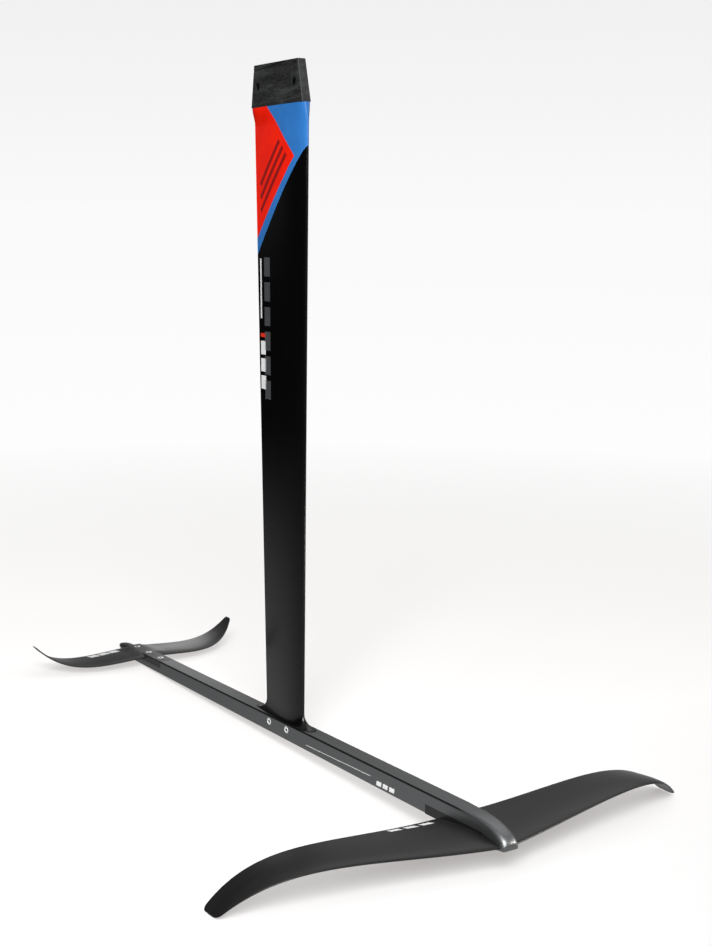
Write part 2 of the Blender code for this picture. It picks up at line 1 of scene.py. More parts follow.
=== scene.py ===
"""Looks of the race hydrofoil: fine surfaces, materials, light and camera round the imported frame.

Metres, in the frame of the CAD model: the nose points to -Y, the wings span X, +Z is up the mast.
"""
import math

import bmesh
import bpy
from mathutils import Matrix, Vector


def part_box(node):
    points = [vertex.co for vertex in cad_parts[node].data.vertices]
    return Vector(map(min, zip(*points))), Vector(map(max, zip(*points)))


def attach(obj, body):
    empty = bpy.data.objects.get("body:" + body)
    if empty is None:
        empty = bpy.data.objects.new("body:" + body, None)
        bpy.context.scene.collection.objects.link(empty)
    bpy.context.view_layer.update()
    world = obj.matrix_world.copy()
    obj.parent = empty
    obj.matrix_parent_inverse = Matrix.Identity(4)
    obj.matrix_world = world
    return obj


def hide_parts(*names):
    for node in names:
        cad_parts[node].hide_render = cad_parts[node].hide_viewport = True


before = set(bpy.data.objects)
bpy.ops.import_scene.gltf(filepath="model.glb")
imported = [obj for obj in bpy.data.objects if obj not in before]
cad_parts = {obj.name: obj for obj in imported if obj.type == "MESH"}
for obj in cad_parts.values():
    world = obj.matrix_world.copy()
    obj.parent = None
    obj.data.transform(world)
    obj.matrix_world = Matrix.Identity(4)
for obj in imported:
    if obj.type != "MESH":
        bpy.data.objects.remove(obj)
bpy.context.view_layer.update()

# ---- places read from the frame ---------------------------------------------------------------
FUSE_LOW, FUSE_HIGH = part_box("fuselage")
FUSE_TOP = FUSE_HIGH.z
HALF_WIDTH = FUSE_HIGH.x
NOSE_Y = FUSE_LOW.y
FUSE_REAR_Y = FUSE_HIGH.y
FOOT_LOW, FOOT_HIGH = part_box("mast_foot")
MAST_Y = (FOOT_LOW.y + FOOT_HIGH.y) / 2
FRONT_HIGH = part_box("front_wing")[1]
TAIL_LOW, TAIL_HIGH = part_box("tail_wing")
FRONT_SCREWS = [f"front_wing_screw_{i}" for i in (1, 2, 3)]
TAIL_SCREWS = [f"tail_screw_{i}" for i in (1, 2, 3)]
MAST_SCREWS = ["mast_screw_front", "mast_screw_rear"]

# ---- shape of the foil, as in the CAD model ---------------------------------------------------
GAP = 0.0003
FUSE_HEIGHT_FRONT = 0.0322
FUSE_HEIGHT_REAR = 0.0217
FUSE_CHAMFER = 0.0015
NOSE_LENGTH = 0.074
NOSE_TIP_Z = 0.0370
NOSE_BOTTOM_Z = 0.0310
NOSE_POWER = 2.2
NOSE_NARROWING = 0.14
MAST_LENGTH = 0.950
MAST_CHORD_BASE = 0.110
MAST_CHORD_TOP = 0.1545
MAST_THICKNESS = 0.016
BASE_FLARE_HEIGHT = 0.020
BASE_FLARE_CHORD = 0.063
BASE_FLARE_THICKNESS = 0.010
BASE_BAR_SHARE = 0.35
COLLAR_HEIGHT = 0.030
COLLAR_LENGTH = 0.154
COLLAR_THICKNESS = 0.0170
COLLAR_SHIFT = 0.0015
HEAD_HEIGHT = 0.0630
HEAD_BASE_ENDS = (-0.0726, 0.0755)
HEAD_TOP_ENDS = (-0.0592, 0.0678)
HEAD_THICKNESS_BOTTOM = 0.0155
HEAD_THICKNESS_TOP = 0.0140
FRONT_HALF_SPAN = FRONT_HIGH.x
FRONT_ROOT_Z = 0.0348
FRONT_TIP_Z = 0.00146
FRONT_LE = (-0.5780, 0.0822, -0.0369, 0.0396)
FRONT_TE = (-0.4450, -0.0158, 0.0012, 0.0026)
FRONT_RISE = (0.0605, -0.0615, FRONT_TIP_Z - FRONT_ROOT_Z - 0.0605 + 0.0615)
FRONT_THICKNESS = 0.098
TANG_REAR_Y = -0.4120
TANG_SLOPE_Y = -0.5345
TANG_FRONT_Y = -0.5700
TANG_TOP_Z = 0.0440
TAIL_HALF_SPAN = TAIL_HIGH.x
TAIL_ROOT_Z = 0.0560
TAIL_LE = (0.4521, -0.0257, 0.0695, 0.0175)
TAIL_TE = (0.5379, -0.0307, 0.0540, -0.0293)
TAIL_RISE = (-0.0330, 0.0514, 0.0129)
TAIL_THICKNESS = 0.095
TONGUE_FRONT_Y = TAIL_LOW.y
TONGUE_REAR_Y = 0.5273
TONGUE_THICKNESS = 0.0106

# ---- camera, fitted to the mast, the fuselage and both wings ----------------------------------
CAMERA_PLACE = Vector((-1.2307, -2.0542, 0.8102))
CAMERA_YAW = math.radians(33.862)
CAMERA_PITCH = math.radians(8.511)
CAMERA_ROLL = math.radians(0.022)
CAMERA_LENS = 58.99


# ---- node helpers -----------------------------------------------------------------------------
class Nodes:
    """Small builder for one material's node tree."""

    def __init__(self, name):
        self.mat = bpy.data.materials.new(name)
        self.mat.use_nodes = True
        self.tree = self.mat.node_tree
        self.shader = self.tree.nodes["Principled BSDF"]
        self.coords = self.tree.nodes.new("ShaderNodeTexCoord").outputs["Object"]

    def link(self, source, target):
        self.tree.links.new(source, target)

    def set(self, values):
        for key, value in values.items():
            self.shader.inputs[key].default_value = value

    def mapped(self, scale, turn=(0, 0, 0)):
        node = self.tree.nodes.new("ShaderNodeMapping")
        node.inputs["Scale"].default_value = scale
        node.inputs["Rotation"].default_value = turn
        self.link(self.coords, node.inputs["Vector"])
        return node.outputs["Vector"]

    def noise(self, scale, detail=4.0, roughness=0.55, stretch=None, distortion=0.0):
        node = self.tree.nodes.new("ShaderNodeTexNoise")
        node.inputs["Scale"].default_value = scale
        node.inputs["Detail"].default_value = detail
        node.inputs["Roughness"].default_value = roughness
        node.inputs["Distortion"].default_value = distortion
        self.link(self.mapped(stretch) if stretch else self.coords, node.inputs["Vector"])
        return node.outputs["Fac"]

    def axis(self, name):
        node = self.tree.nodes.new("ShaderNodeSeparateXYZ")
        self.link(self.coords, node.inputs["Vector"])
        return node.outputs[name]

    def math(self, operation, a, b=0.0, c=0.0):
        node = self.tree.nodes.new("ShaderNodeMath")
        node.operation = operation
        for socket, value in zip(node.inputs, (a, b, c)):
            if isinstance(value, (int, float)):
                socket.default_value = value
            else:
                self.link(value, socket)
        return node.outputs[0]

    def ramp(self, fac, stops):
        """Colour or grey ramp: stops are (place, grey or colour)."""
        node = self.tree.nodes.new("ShaderNodeValToRGB")
        elements = node.color_ramp.elements
        while len(elements) < len(stops):
            elements.new(0.5)
        for element, (place, value) in zip(elements, stops):
            element.position = place
            element.color = (*value, 1) if isinstance(value, tuple) else (value, value, value, 1)
        self.link(fac, node.inputs["Fac"])
        return node.outputs["Color"]

    def range(self, value, low, high, to_low, to_high):
        node = self.tree.nodes.new("ShaderNodeMapRange")
        for key, number in (("From Min", low), ("From Max", high), ("To Min", to_low), ("To Max", to_high)):
            node.inputs[key].default_value = number
        self.link(value, node.inputs["Value"])
        return node.outputs["Result"]

    def mix(self, fac, a, b):
        node = self.tree.nodes.new("ShaderNodeMix")
        node.data_type = "RGBA"
        sockets = [s for s in node.inputs if s.type == "RGBA"]
        factor = node.inputs[0]
        for socket, value in ((factor, fac), (sockets[0], a), (sockets[1], b)):
            if isinstance(value, tuple):
                socket.default_value = (*value, 1)
            elif isinstance(value, (int, float)):
                socket.default_value = value
            else:
                self.link(value, socket)
        return [s for s in node.outputs if s.type == "RGBA"][0]

    def color(self, socket):
        self.link(socket, self.shader.inputs["Base Color"])

    def roughness(self, socket):
        self.link(socket, self.shader.inputs["Roughness"])

    def bump(self, height, distance, strength=1.0):
        node = self.tree.nodes.new("ShaderNodeBump")
        node.inputs["Distance"].default_value = distance
        node.inputs["Strength"].default_value = strength
        self.link(height, node.inputs["Height"])
        self.link(node.outputs["Normal"], self.shader.inputs["Normal"])


# ---- materials --------------------------------------------------------------------------------
def mast_lacquer():
    """Black satin lacquer with a faint unidirectional grain under it."""
    n = Nodes("mast_lacquer")
    grain = n.noise(900, 3, 0.6, stretch=(1, 1, 0.04))
    cloud = n.noise(14, 3)
    n.color(n.mix(n.range(grain, 0.3, 0.7, 0.0, 1.0), (0.0010, 0.0010, 0.0011), (0.0017, 0.0017, 0.0018)))
    n.roughness(n.range(cloud, 0.3, 0.7, 0.21, 0.26))
    n.set({"IOR": 1.5})
    n.bump(n.noise(1400, 2), 0.00002, 0.3)
    return n.mat


def paint(name, color, deep):
    """Flat spray paint under satin lacquer, slightly cloudy, with a fine orange peel."""
    n = Nodes(name)
    n.color(n.mix(n.range(n.noise(35, 4), 0.35, 0.65, 0.0, 1.0), color, deep))
    n.roughness(n.range(n.noise(60, 3), 0.3, 0.7, 0.36, 0.44))
    n.bump(n.noise(1600, 2), 0.00002, 0.3)
    return n.mat


def wing_coating(name, light, dark):
    """Soft-touch coating: dark, matt, with a fine even grain and faint rubbed streaks."""
    n = Nodes(name)
    streak = n.noise(30, 5, 0.6, stretch=(0.25, 3, 1))
    speck = n.noise(1500, 2, 0.7)
    blend = n.math("ADD", n.math("MULTIPLY", streak, 0.7), n.math("MULTIPLY", speck, 0.3))
    n.color(n.mix(n.range(blend, 0.35, 0.65, 0.0, 1.0), dark, light))
    n.roughness(n.range(streak, 0.3, 0.7, 0.36, 0.44))
    n.bump(speck, 0.00004, 0.5)
    n.set({"Sheen Weight": 0.11, "Sheen Roughness": 0.30})
    return n.mat


def anodised():
    """Blasted, dark anodised aluminium: fine peened grain, faint drawing lines along the bar, and a painted
    shade line along its upper chamfers.
    """
    n = Nodes("anodised_bar")
    grain = n.noise(2200, 2, 0.7)
    lines = n.noise(500, 3, 0.6, stretch=(1, 0.01, 1))
    blend = n.math("ADD", n.math("MULTIPLY", lines, 0.6), n.math("MULTIPLY", grain, 0.4))
    body = n.mix(n.range(blend, 0.35, 0.65, 0.0, 1.0), (0.170, 0.175, 0.178), (0.207, 0.212, 0.215))
    # painted shade: the upper long chamfers are coloured dark, where the edge turns away from the light
    corner = n.math("ADD", n.math("ABSOLUTE", n.axis("X")), n.axis("Z"))
    chamfer_at = HALF_WIDTH + FUSE_TOP - FUSE_CHAMFER
    painted_chamfer_shade = n.range(corner, chamfer_at - 0.0010, chamfer_at - 0.0002, 0.0, 1.0)
    n.color(n.mix(painted_chamfer_shade, body, (0.030, 0.031, 0.032)))
    n.roughness(n.range(lines, 0.3, 0.7, 0.36, 0.46))
    n.set({"Metallic": 0.92})
    n.bump(grain, 0.00003, 0.5)
    return n.mat


def head_composite():
    """Raw moulded block with grey rub marks, streaks and a rough surface."""
    n = Nodes("head_composite")
    smear = n.noise(42, 6, 0.62, stretch=(1, 0.32, 1.9), distortion=0.7)
    fine = n.noise(420, 4, 0.7, stretch=(1, 0.3, 1))
    marks = n.ramp(smear, [(0.38, 0.0), (0.50, 0.25), (0.60, 0.85), (0.70, 1.0)])
    tone = n.mix(marks, (0.008, 0.008, 0.0084), (0.028, 0.029, 0.030))
    n.color(n.mix(n.range(fine, 0.45, 0.75, 0.0, 0.5), tone, (0.044, 0.045, 0.046)))
    n.roughness(n.range(smear, 0.3, 0.7, 0.42, 0.75))
    n.bump(n.math("ADD", fine, smear), 0.00025, 0.6)
    return n.mat


def metal(name, color, roughness, metallic=1.0, turned=(900, 900, 20)):
    n = Nodes(name)
    lines = n.noise(1, 3, 0.6, stretch=turned)
    bright = tuple(min(1.0, c * 1.12) for c in color)
    n.color(n.mix(lines, color, bright))
    n.roughness(n.range(lines, 0.3, 0.7, roughness * 0.8, roughness * 1.2))
    n.set({"Metallic": metallic})
    n.bump(lines, 0.00002, 0.4)
    return n.mat


def plain_grain(name, light, dark, roughness, scale, depth):
    n = Nodes(name)
    grain = n.noise(scale, 4, 0.65)
    n.color(n.mix(n.range(grain, 0.35, 0.65, 0.0, 1.0), dark, light))
    n.roughness(n.range(grain, 0.3, 0.7, roughness * 0.9, roughness * 1.1))
    n.bump(grain, depth, 0.5)
    return n.mat


def print_ink(name, light, dark, roughness=0.45):
    return plain_grain(name, light, dark, roughness, 300, 0.00001)


LACQUER = mast_lacquer()
RED = paint("mast_red", (0.80, 0.012, 0.001), (0.72, 0.009, 0.001))
BLUE = paint("mast_blue", (0.026, 0.154, 0.445), (0.023, 0.138, 0.405))
FRONT_COAT = wing_coating("front_wing_coat", (0.0052, 0.0050, 0.0054), (0.0036, 0.0035, 0.0040))
TAIL_COAT = wing_coating("tail_wing_coat", (0.0120, 0.0120, 0.0122), (0.0085, 0.0085, 0.0087))
ANODISED = anodised()
HEAD_COMPOSITE = head_composite()
STEEL = metal("bright_steel", (0.80, 0.80, 0.79), 0.34, 0.45)
# steel coloured near black to stand for shade: painted shade in the screws' hex sockets and on the barrel
# nuts inside their bores
STEEL_IN_PAINTED_SHADE = metal("steel_in_painted_shade", (0.030, 0.030, 0.031), 0.45)
BRASS = metal("brass", (0.62, 0.46, 0.22), 0.30)
FOAM = plain_grain("core_foam", (0.62, 0.55, 0.40), (0.45, 0.38, 0.26), 0.9, 700, 0.0004)
FOOT_BLACK = plain_grain("foot_composite", (0.05, 0.05, 0.052), (0.02, 0.02, 0.021), 0.5, 250, 0.0001)
SHIM_BLACK = plain_grain("shim_plastic", (0.03, 0.03, 0.03), (0.015, 0.015, 0.015), 0.5, 500, 0.00005)
WHITE_INK = print_ink("white_ink", (0.80, 0.80, 0.80), (0.70, 0.70, 0.70))
GREY_INK = print_ink("grey_ink", (0.060, 0.062, 0.066), (0.045, 0.046, 0.050))
RED_INK = print_ink("red_ink", (0.75, 0.03, 0.01), (0.65, 0.02, 0.01))
DARK_RED_INK = print_ink("dark_red_ink", (0.26, 0.006, 0.006), (0.20, 0.005, 0.005))


# ---- mesh helpers -----------------------------------------------------------------------------
def add_object(name, bm, mats, smooth_angle=35.0):
    bmesh.ops.recalc_face_normals(bm, faces=bm.faces)
    mesh = bpy.data.meshes.new(name)
    bm.to_mesh(mesh)
    bm.free()
    for mat in mats if isinstance(mats, (list, tuple)) else [mats]:
        mesh.materials.append(mat)
    mesh.shade_smooth()
    mesh.set_sharp_from_angle(angle=math.radians(smooth_angle))
    obj = bpy.data.objects.new(name, mesh)
    bpy.context.scene.collection.objects.link(obj)
    return obj


def loft(rings, closed_loop=False):
    bm = bmesh.new()
    rows = [[bm.verts.new(point) for point in ring] for ring in rings]
    pairs = list(zip(rows, rows[1:]))
    if closed_loop:
        pairs.append((rows[-1], rows[0]))
    for low, high in pairs:
        for i in range(len(low)):
            j = (i + 1) % len(low)
            bm.faces.new((low[i], low[j], high[j], high[i]))
    if not closed_loop:
        bm.faces.new(rows[0])
        bm.faces.new(rows[-1])
    return bm


def box(low, high):
    bm = bmesh.new()
    bmesh.ops.create_cube(bm, size=1.0)
    low = Vector(low)
    high = Vector(high)
    for vert in bm.verts:
        vert.co = Vector((low[k] + (vert.co[k] + 0.5) * (high[k] - low[k]) for k in range(3)))
    return bm


def prism(profile, half_width):
    return loft([[Vector((x, y, z)) for y, z in profile] for x in (-half_width, half_width)])


def axis_matrix(origin, direction):
    turn = Vector((0, 0, 1)).rotation_difference(Vector(direction)).to_matrix().to_4x4()
    return Matrix.Translation(Vector(origin)) @ turn


def lathe(profile, segments=64, hollow=False):
    rings = []
    for radius, height in profile:
        angles = [2 * math.pi * i / segments for i in range(segments)]
        rings.append([Vector((radius * math.cos(a), radius * math.sin(a), height)) for a in angles])
    return loft(rings, closed_loop=hollow)


def cut_away(obj, bm, operation="DIFFERENCE", matrix=None):
    """Boolean a temporary shape into obj and keep only the result."""
    if matrix is not None:
        bmesh.ops.transform(bm, matrix=matrix, verts=bm.verts)
    tool = add_object("tool", bm, obj.data.materials[0])
    modifier = obj.modifiers.new("cut", "BOOLEAN")
    modifier.operation = operation
    modifier.solver = "EXACT"
    modifier.object = tool
    graph = bpy.context.evaluated_depsgraph_get()
    mesh = bpy.data.meshes.new_from_object(obj.evaluated_get(graph))
    obj.modifiers.clear()
    obj.data = mesh
    bpy.data.objects.remove(tool, do_unlink=True)
    return obj


def resharpen(obj, angle):
    obj.data.shade_smooth()
    obj.data.set_sharp_from_angle(angle=math.radians(angle))
    return obj


def finish_piece(obj, body="foil", nodes=()):
    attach(obj, body)
    if nodes:
        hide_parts(*nodes)
    return obj


# ---- foil sections ----------------------------------------------------------------------------
def foil_half_thickness(s):
    shape = 0.2969 * math.sqrt(s) - 0.1260 * s - 0.3516 * s**2 + 0.2843 * s**3 - 0.1015 * s**4
    return shape / 0.10003 * 2


def bar_half_thickness(s):
    return (1 - abs(2 * s - 1) ** 10) ** 0.35


def chord_steps(count):
    return [(1 - math.cos(math.pi * i / count)) / 2 for i in range(count + 1)]


def smooth(t):
    t = min(1.0, max(0.0, t))
    return t * t * (3 - 2 * t)


def fuselage_height(y):
    along = (y - NOSE_Y) / (FUSE_REAR_Y - NOSE_Y)
    return FUSE_HEIGHT_FRONT + (FUSE_HEIGHT_REAR - FUSE_HEIGHT_FRONT) * along


# ---- mast -------------------------------------------------------------------------------------
def mast_section(height):
    """Chord, thickness, middle and share of bar shape at a height above the fuselage."""
    chord = MAST_CHORD_BASE + (MAST_CHORD_TOP - MAST_CHORD_BASE) * height / MAST_LENGTH
    thickness = MAST_THICKNESS
    middle = MAST_Y
    bar = 0.0
    if height < BASE_FLARE_HEIGHT:
        up = (height - GAP) / (BASE_FLARE_HEIGHT - GAP)
        flare = 1 - math.sqrt(max(0.0, 1 - (1 - up) ** 2))
        chord += BASE_FLARE_CHORD * flare
        thickness += BASE_FLARE_THICKNESS * flare
        bar = BASE_BAR_SHARE * flare
    from_collar = MAST_LENGTH - height
    if from_collar < COLLAR_HEIGHT:
        bar = smooth(1 - from_collar / COLLAR_HEIGHT)
        chord += (COLLAR_LENGTH - chord) * bar
        thickness += (COLLAR_THICKNESS - thickness) * bar
        middle += COLLAR_SHIFT * bar
    return chord, thickness, middle, bar


def mast_half(s, thickness, bar):
    half = foil_half_thickness(s) / 2 * (1 - bar) + bar_half_thickness(s) * bar
    return max(half, 0.06) * thickness / 2


def mast_ring(height, count=40):
    chord, thickness, middle, bar = mast_section(height)
    z = FUSE_TOP + height
    side = [(mast_half(s, thickness, bar), middle + (s - 0.5) * chord, z) for s in chord_steps(count)]
    return [Vector(p) for p in side] + [Vector((-x, y, z)) for x, y, z in reversed(side)]


def mast_skin(y, z):
    """Half thickness of the mast where its side is at y and z."""
    chord, thickness, middle, bar = mast_section(z - FUSE_TOP)
    s = min(1.0, max(0.0, (y - middle) / chord + 0.5))
    return mast_half(s, thickness, bar)


# the two fields of colour under the head, as (distance behind mid chord, height) corners
RED_TOP = (0.0251, 0.9478)
RED_CORNER = (-0.0487, 0.8737)
RED_BOTTOM = (0.0730, 0.7530)
BLUE_FRONT = (-0.0774, 0.8887)
BLUE_BOTTOM = (0.0716, 0.7289)


def split_line(bm, a, b):
    """Cut the mesh along the line through two (y, z) points, all the way across X."""
    along = Vector((0, b[0] - a[0], b[1] - a[1]))
    normal = along.cross(Vector((1, 0, 0))).normalized()
    point = Vector((0, MAST_Y + a[0], FUSE_TOP + a[1]))
    geom = bm.verts[:] + bm.edges[:] + bm.faces[:]
    bmesh.ops.bisect_plane(bm, geom=geom, plane_co=point, plane_no=normal, dist=1e-6)


def behind_line(y, z, a, b):
    """True when (y, z) is on the tail side of the line through a and b."""
    return y > a[0] + (b[0] - a[0]) * (z - a[1]) / (b[1] - a[1])


def paint_fields(bm):
    """Black blade, a red field towards the tail edge and a blue band round it."""
    split_line(bm, RED_TOP, RED_CORNER)
    split_line(bm, RED_CORNER, RED_BOTTOM)
    split_line(bm, BLUE_FRONT, BLUE_BOTTOM)
    for face in bm.faces:
        middle = face.calc_center_median()
        y = middle.y - MAST_Y
        z = middle.z - FUSE_TOP
        edge = (RED_TOP, RED_CORNER) if z > RED_CORNER[1] else (RED_CORNER, RED_BOTTOM)
        if not behind_line(y, z, BLUE_BOTTOM, BLUE_FRONT):
            face.material_index = 0
        else:
            face.material_index = 1 if behind_line(y, z, *edge) else 2


def build_mast():
    heights = [GAP + (BASE_FLARE_HEIGHT - GAP) * (1 - math.cos(math.pi / 2 * i / 16)) for i in range(17)]
    blade_end = MAST_LENGTH - COLLAR_HEIGHT
    heights += [BASE_FLARE_HEIGHT + (blade_end - BASE_FLARE_HEIGHT) * i / 40 for i in range(1, 41)]
    heights += [blade_end + COLLAR_HEIGHT * i / 16 for i in range(1, 17)]
    bm = loft([mast_ring(h) for h in heights])
    paint_fields(bm)
    mast = add_object("mast_blade", bm, [LACQUER, RED, BLUE], 40)
    return finish_piece(mast, nodes=["mast_shell"])


# ---- printed marks ----------------------------------------------------------------------------
INK_RAISE = 0.00010
INK_DEPTH = 0.00015


def printed(outline, surface, steps=6):
    """Thin closed patch of ink. outline is 4 (u, v) corners; surface gives a point and its normal."""
    bm = bmesh.new()
    grids = []
    for offset in (INK_RAISE, -INK_DEPTH):
        grid = []
        for i in range(steps + 1):
            row = []
            for k in range(steps + 1):
                a = i / steps
                b = k / steps
                low = [outline[0][q] * (1 - a) + outline[1][q] * a for q in (0, 1)]
                high = [outline[3][q] * (1 - a) + outline[2][q] * a for q in (0, 1)]
                u, v = (low[q] * (1 - b) + high[q] * b for q in (0, 1))
                point, normal = surface(u, v)
                row.append(bm.verts.new(point + normal * offset))
            grid.append(row)
        grids.append(grid)
    top, under = grids
    for i in range(steps):
        for k in range(steps):
            bm.faces.new((top[i][k], top[i + 1][k], top[i + 1][k + 1], top[i][k + 1]))
            bm.faces.new((under[i][k], under[i][k + 1], under[i + 1][k + 1], under[i + 1][k]))
    rim = [(i, 0) for i in range(steps)] + [(steps, k) for k in range(steps)]
    rim += [(i, steps) for i in range(steps, 0, -1)] + [(0, k) for k in range(steps, 0, -1)]
    for (i, k), (i2, k2) in zip(rim, rim[1:] + rim[:1]):
        bm.faces.new((top[i][k], under[i][k], under[i2][k2], top[i2][k2]))
    return bm


def join_prints(name, parts, mat):
    """One piece from several patches of the same ink."""
    whole = bmesh.new()
    for part in parts:
        mesh = bpy.data.meshes.new("part")
        part.to_mesh(mesh)
        part.free()
        whole.from_mesh(mesh)
        bpy.data.meshes.remove(mesh)
    return finish_piece(add_object(name, whole, mat, 30))


def mast_surface(side):
    """Side skin of the mast, by distance behind MAST_Y and height above the fuselage."""
    def at(u, v):
        y = MAST_Y + u
        z = FUSE_TOP + v
        x = mast_skin(y, z)
        slope = (mast_skin(y + 0.0005, z) - mast_skin(y - 0.0005, z)) / 0.001
        normal = Vector((side, -slope, 0)).normalized()
        return Vector((side * x, y, z)), normal
    return at


def bar_surface(side):
    """Side face of the fuselage, by y and height above its top face."""
    def at(u, v):
        return Vector((side * HALF_WIDTH, u, FUSE_TOP + v)), Vector((side, 0, 0))
    return at


def wing_top(station, half_span):
    """Upper skin of a wing, by x and y."""
    def height(x, y):
        front, rear, z, half_max = station(min(1.0, abs(x) / half_span))
        s = min(1.0, max(0.0, (y - front) / (rear - front)))
        return z + max(foil_half_thickness(s) / 2 * half_max, 0.0003)

    def at(u, v):
        step = 0.0005
        slope_x = (height(u + step, v) - height(u - step, v)) / (2 * step)
        slope_y = (height(u, v + step) - height(u, v - step)) / (2 * step)
        return Vector((u, v, height(u, v))), Vector((-slope_x, -slope_y, 1)).normalized()
    return at


def stroke(a, b, width):
    """Corners of a straight bar from a to b."""
    a = Vector(a)
    b = Vector(b)
    along = b - a
    across = Vector((-along.y, along.x)).normalized() * width / 2
    return [tuple(corner) for corner in (a + across, b + across, b - across, a - across)]


def bar_column(count, u, top, length, width, pitch=0.0):
    """Equal upright bars, one below another."""
    bars = []
    for i in range(count):
        upper = top - pitch * i
        bars.append(stroke((u, upper), (u, upper - length), width))
    return bars


STRIPE_SLOPE = 0.992          # as steep as the lower edge of the red field
STRIPE_START = -0.026         # front end of the lowest stripe, from MAST_Y
STRIPE_END = 0.058
STRIPE_LEVEL = 0.852          # height at which the lowest stripe would cross MAST_Y
STRIPE_STEP = 0.010
STRIPE_RISE = 0.020
STRIPE_WIDTH = 0.007


def build_mast_marks():
    """Three plain diagonal stripes on the red field, and plain bars down the blade."""
    stripes = []
    for i in range(3):
        start = STRIPE_START + STRIPE_STEP * i
        level = STRIPE_LEVEL + STRIPE_RISE * i
        ends = [(y, level - STRIPE_SLOPE * y) for y in (start, STRIPE_END)]
        stripes.append(stroke(*ends, STRIPE_WIDTH))
    for side, label in ((-1, "left"), (1, "right")):
        skin = mast_surface(side)
        join_prints(f"field_stripes_{label}", [printed(quad, skin) for quad in stripes], DARK_RED_INK)
        build_blade_bars(skin, label)


def build_blade_bars(skin, label):
    """Column of equal grey bars, a thin white line, a red bar and three equal white bars."""
    grey = bar_column(6, u=0.0385, top=0.7240, length=0.0290, width=0.0200, pitch=0.0380)
    join_prints(f"blade_bars_{label}", [printed(quad, skin, 3) for quad in grey], GREY_INK)
    white = [stroke((0.0610, 0.7220), (0.0607, 0.6300), 0.0045)]
    white += bar_column(3, u=0.0545, top=0.5950, length=0.0210, width=0.0180, pitch=0.0270)
    join_prints(f"blade_white_{label}", [printed(quad, skin, 3) for quad in white], WHITE_INK)
    red = bar_column(1, u=0.0545, top=0.6070, length=0.0060, width=0.0180)
    join_prints(f"blade_red_{label}", [printed(quad, skin, 2) for quad in red], RED_INK)


# ---- board head -------------------------------------------------------------------------------
HEAD_BASE_Z = FUSE_TOP + MAST_LENGTH + GAP
NUT_FRONT = (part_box("barrel_nut_front")[0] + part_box("barrel_nut_front")[1]) / 2
NUT_REAR = (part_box("barrel_nut_rear")[0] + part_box("barrel_nut_rear")[1]) / 2


def head_ring(along, inset, corner):
    """Rounded rectangle, drawn in by inset, at a share of the head's height."""
    front, rear = (low + (high - low) * along for low, high in zip(HEAD_BASE_ENDS, HEAD_TOP_ENDS))
    half = (HEAD_THICKNESS_BOTTOM + (HEAD_THICKNESS_TOP - HEAD_THICKNESS_BOTTOM) * along) / 2 - inset
    front += inset
    rear -= inset
    corner = max(corner - inset, 0.0003)
    z = HEAD_BASE_Z + HEAD_HEIGHT * along
    ring = []
    for cx, cy, start in ((1, 1, 0), (-1, 1, 90), (-1, -1, 180), (1, -1, 270)):
        centre_x = cx * (half - corner)
        centre_y = rear - corner if cy > 0 else front + corner
        for i in range(6):
            angle = math.radians(start + 90 * i / 5)
            x = centre_x + corner * math.cos(angle)
            y = MAST_Y + centre_y + corner * math.sin(angle)
            ring.append(Vector((x, y, z)))
    return ring


GROOVE_REAR = 0.0669          # ends of the fine groove across the head's left side
GROOVE_FRONT = -0.0250
GROOVE_RISE = 0.0080
GROOVE_Z = 1.0081


def build_head():
    corner = 0.0014
    edge = 0.0009
    rings = [head_ring(0.0, 0.0, corner)]
    rings += [head_ring(i / 24, 0.0, corner) for i in range(1, 24)]
    for i in range(5):
        angle = math.pi / 2 * i / 4
        along = 1 - edge / HEAD_HEIGHT * (1 - math.sin(angle))
        rings.append(head_ring(along, edge * (1 - math.cos(angle)), corner))
    head = add_object("head_block", loft(rings), HEAD_COMPOSITE, 40)
    for centre in (NUT_FRONT, NUT_REAR):
        cross = lathe([(0.0058, -0.02), (0.0058, 0.02)], 48)
        cut_away(head, cross, matrix=axis_matrix(centre, (1, 0, 0)))
        bolt = lathe([(0.0044, -0.012), (0.0044, 0.05)], 48)
        cut_away(head, bolt, matrix=Matrix.Translation(centre))
    slot_low = (-0.02, NUT_FRONT.y - 0.0065, NUT_FRONT.z)
    slot_high = (0.0022 - HEAD_THICKNESS_BOTTOM / 2, NUT_FRONT.y + 0.0065, NUT_FRONT.z + 0.029)
    cut_away(head, box(slot_low, slot_high))
    groove = box((-0.0006, -0.050, -0.0008), (0.0016, 0.050, 0.0008))
    lean = math.atan2(GROOVE_RISE, GROOVE_FRONT - GROOVE_REAR)
    middle_y = MAST_Y + (GROOVE_FRONT + GROOVE_REAR) / 2
    middle = Vector((-HEAD_THICKNESS_TOP / 2 - 0.0004, middle_y, FUSE_TOP + GROOVE_Z))
    cut_away(head, groove, matrix=Matrix.Translation(middle) @ Matrix.Rotation(lean, 4, "X"))
    resharpen(head, 40)
    return finish_piece(head, nodes=["board_head"])


# ---- fuselage ---------------------------------------------------------------------------------
NOSE_ROUND = 0.0085           # shoulder radius of the bar at the nose
NOSE_ROUND_START = -0.43
NOSE_BOW = 0.0026             # how far the nose's sides lie behind its middle


def corner_points(half_width, edge, up, chamfer, radius):
    """Softened chamfer on one long edge, drawn towards a round shoulder of the given radius."""
    soft = chamfer * 0.35
    flat = [
        (half_width, edge - up * (chamfer + soft)),
        (half_width, edge - up * chamfer),
        (half_width - soft * 0.7, edge - up * (chamfer - soft * 0.7)),
        (half_width - chamfer + soft * 0.7, edge - up * soft * 0.7),
        (half_width - chamfer, edge),
        (half_width - chamfer - soft, edge),
    ]
    if not radius:
        return flat
    arc = []
    for i in range(6):
        turn = math.pi / 2 * i / 5
        arc.append((half_width - radius * (1 - math.cos(turn)), edge - up * radius * (1 - math.sin(turn))))
    share = min(1.0, radius / NOSE_ROUND * 1.5)
    return [(x0 + (x1 - x0) * share, z0 + (z1 - z0) * share) for (x0, z0), (x1, z1) in zip(flat, arc)]


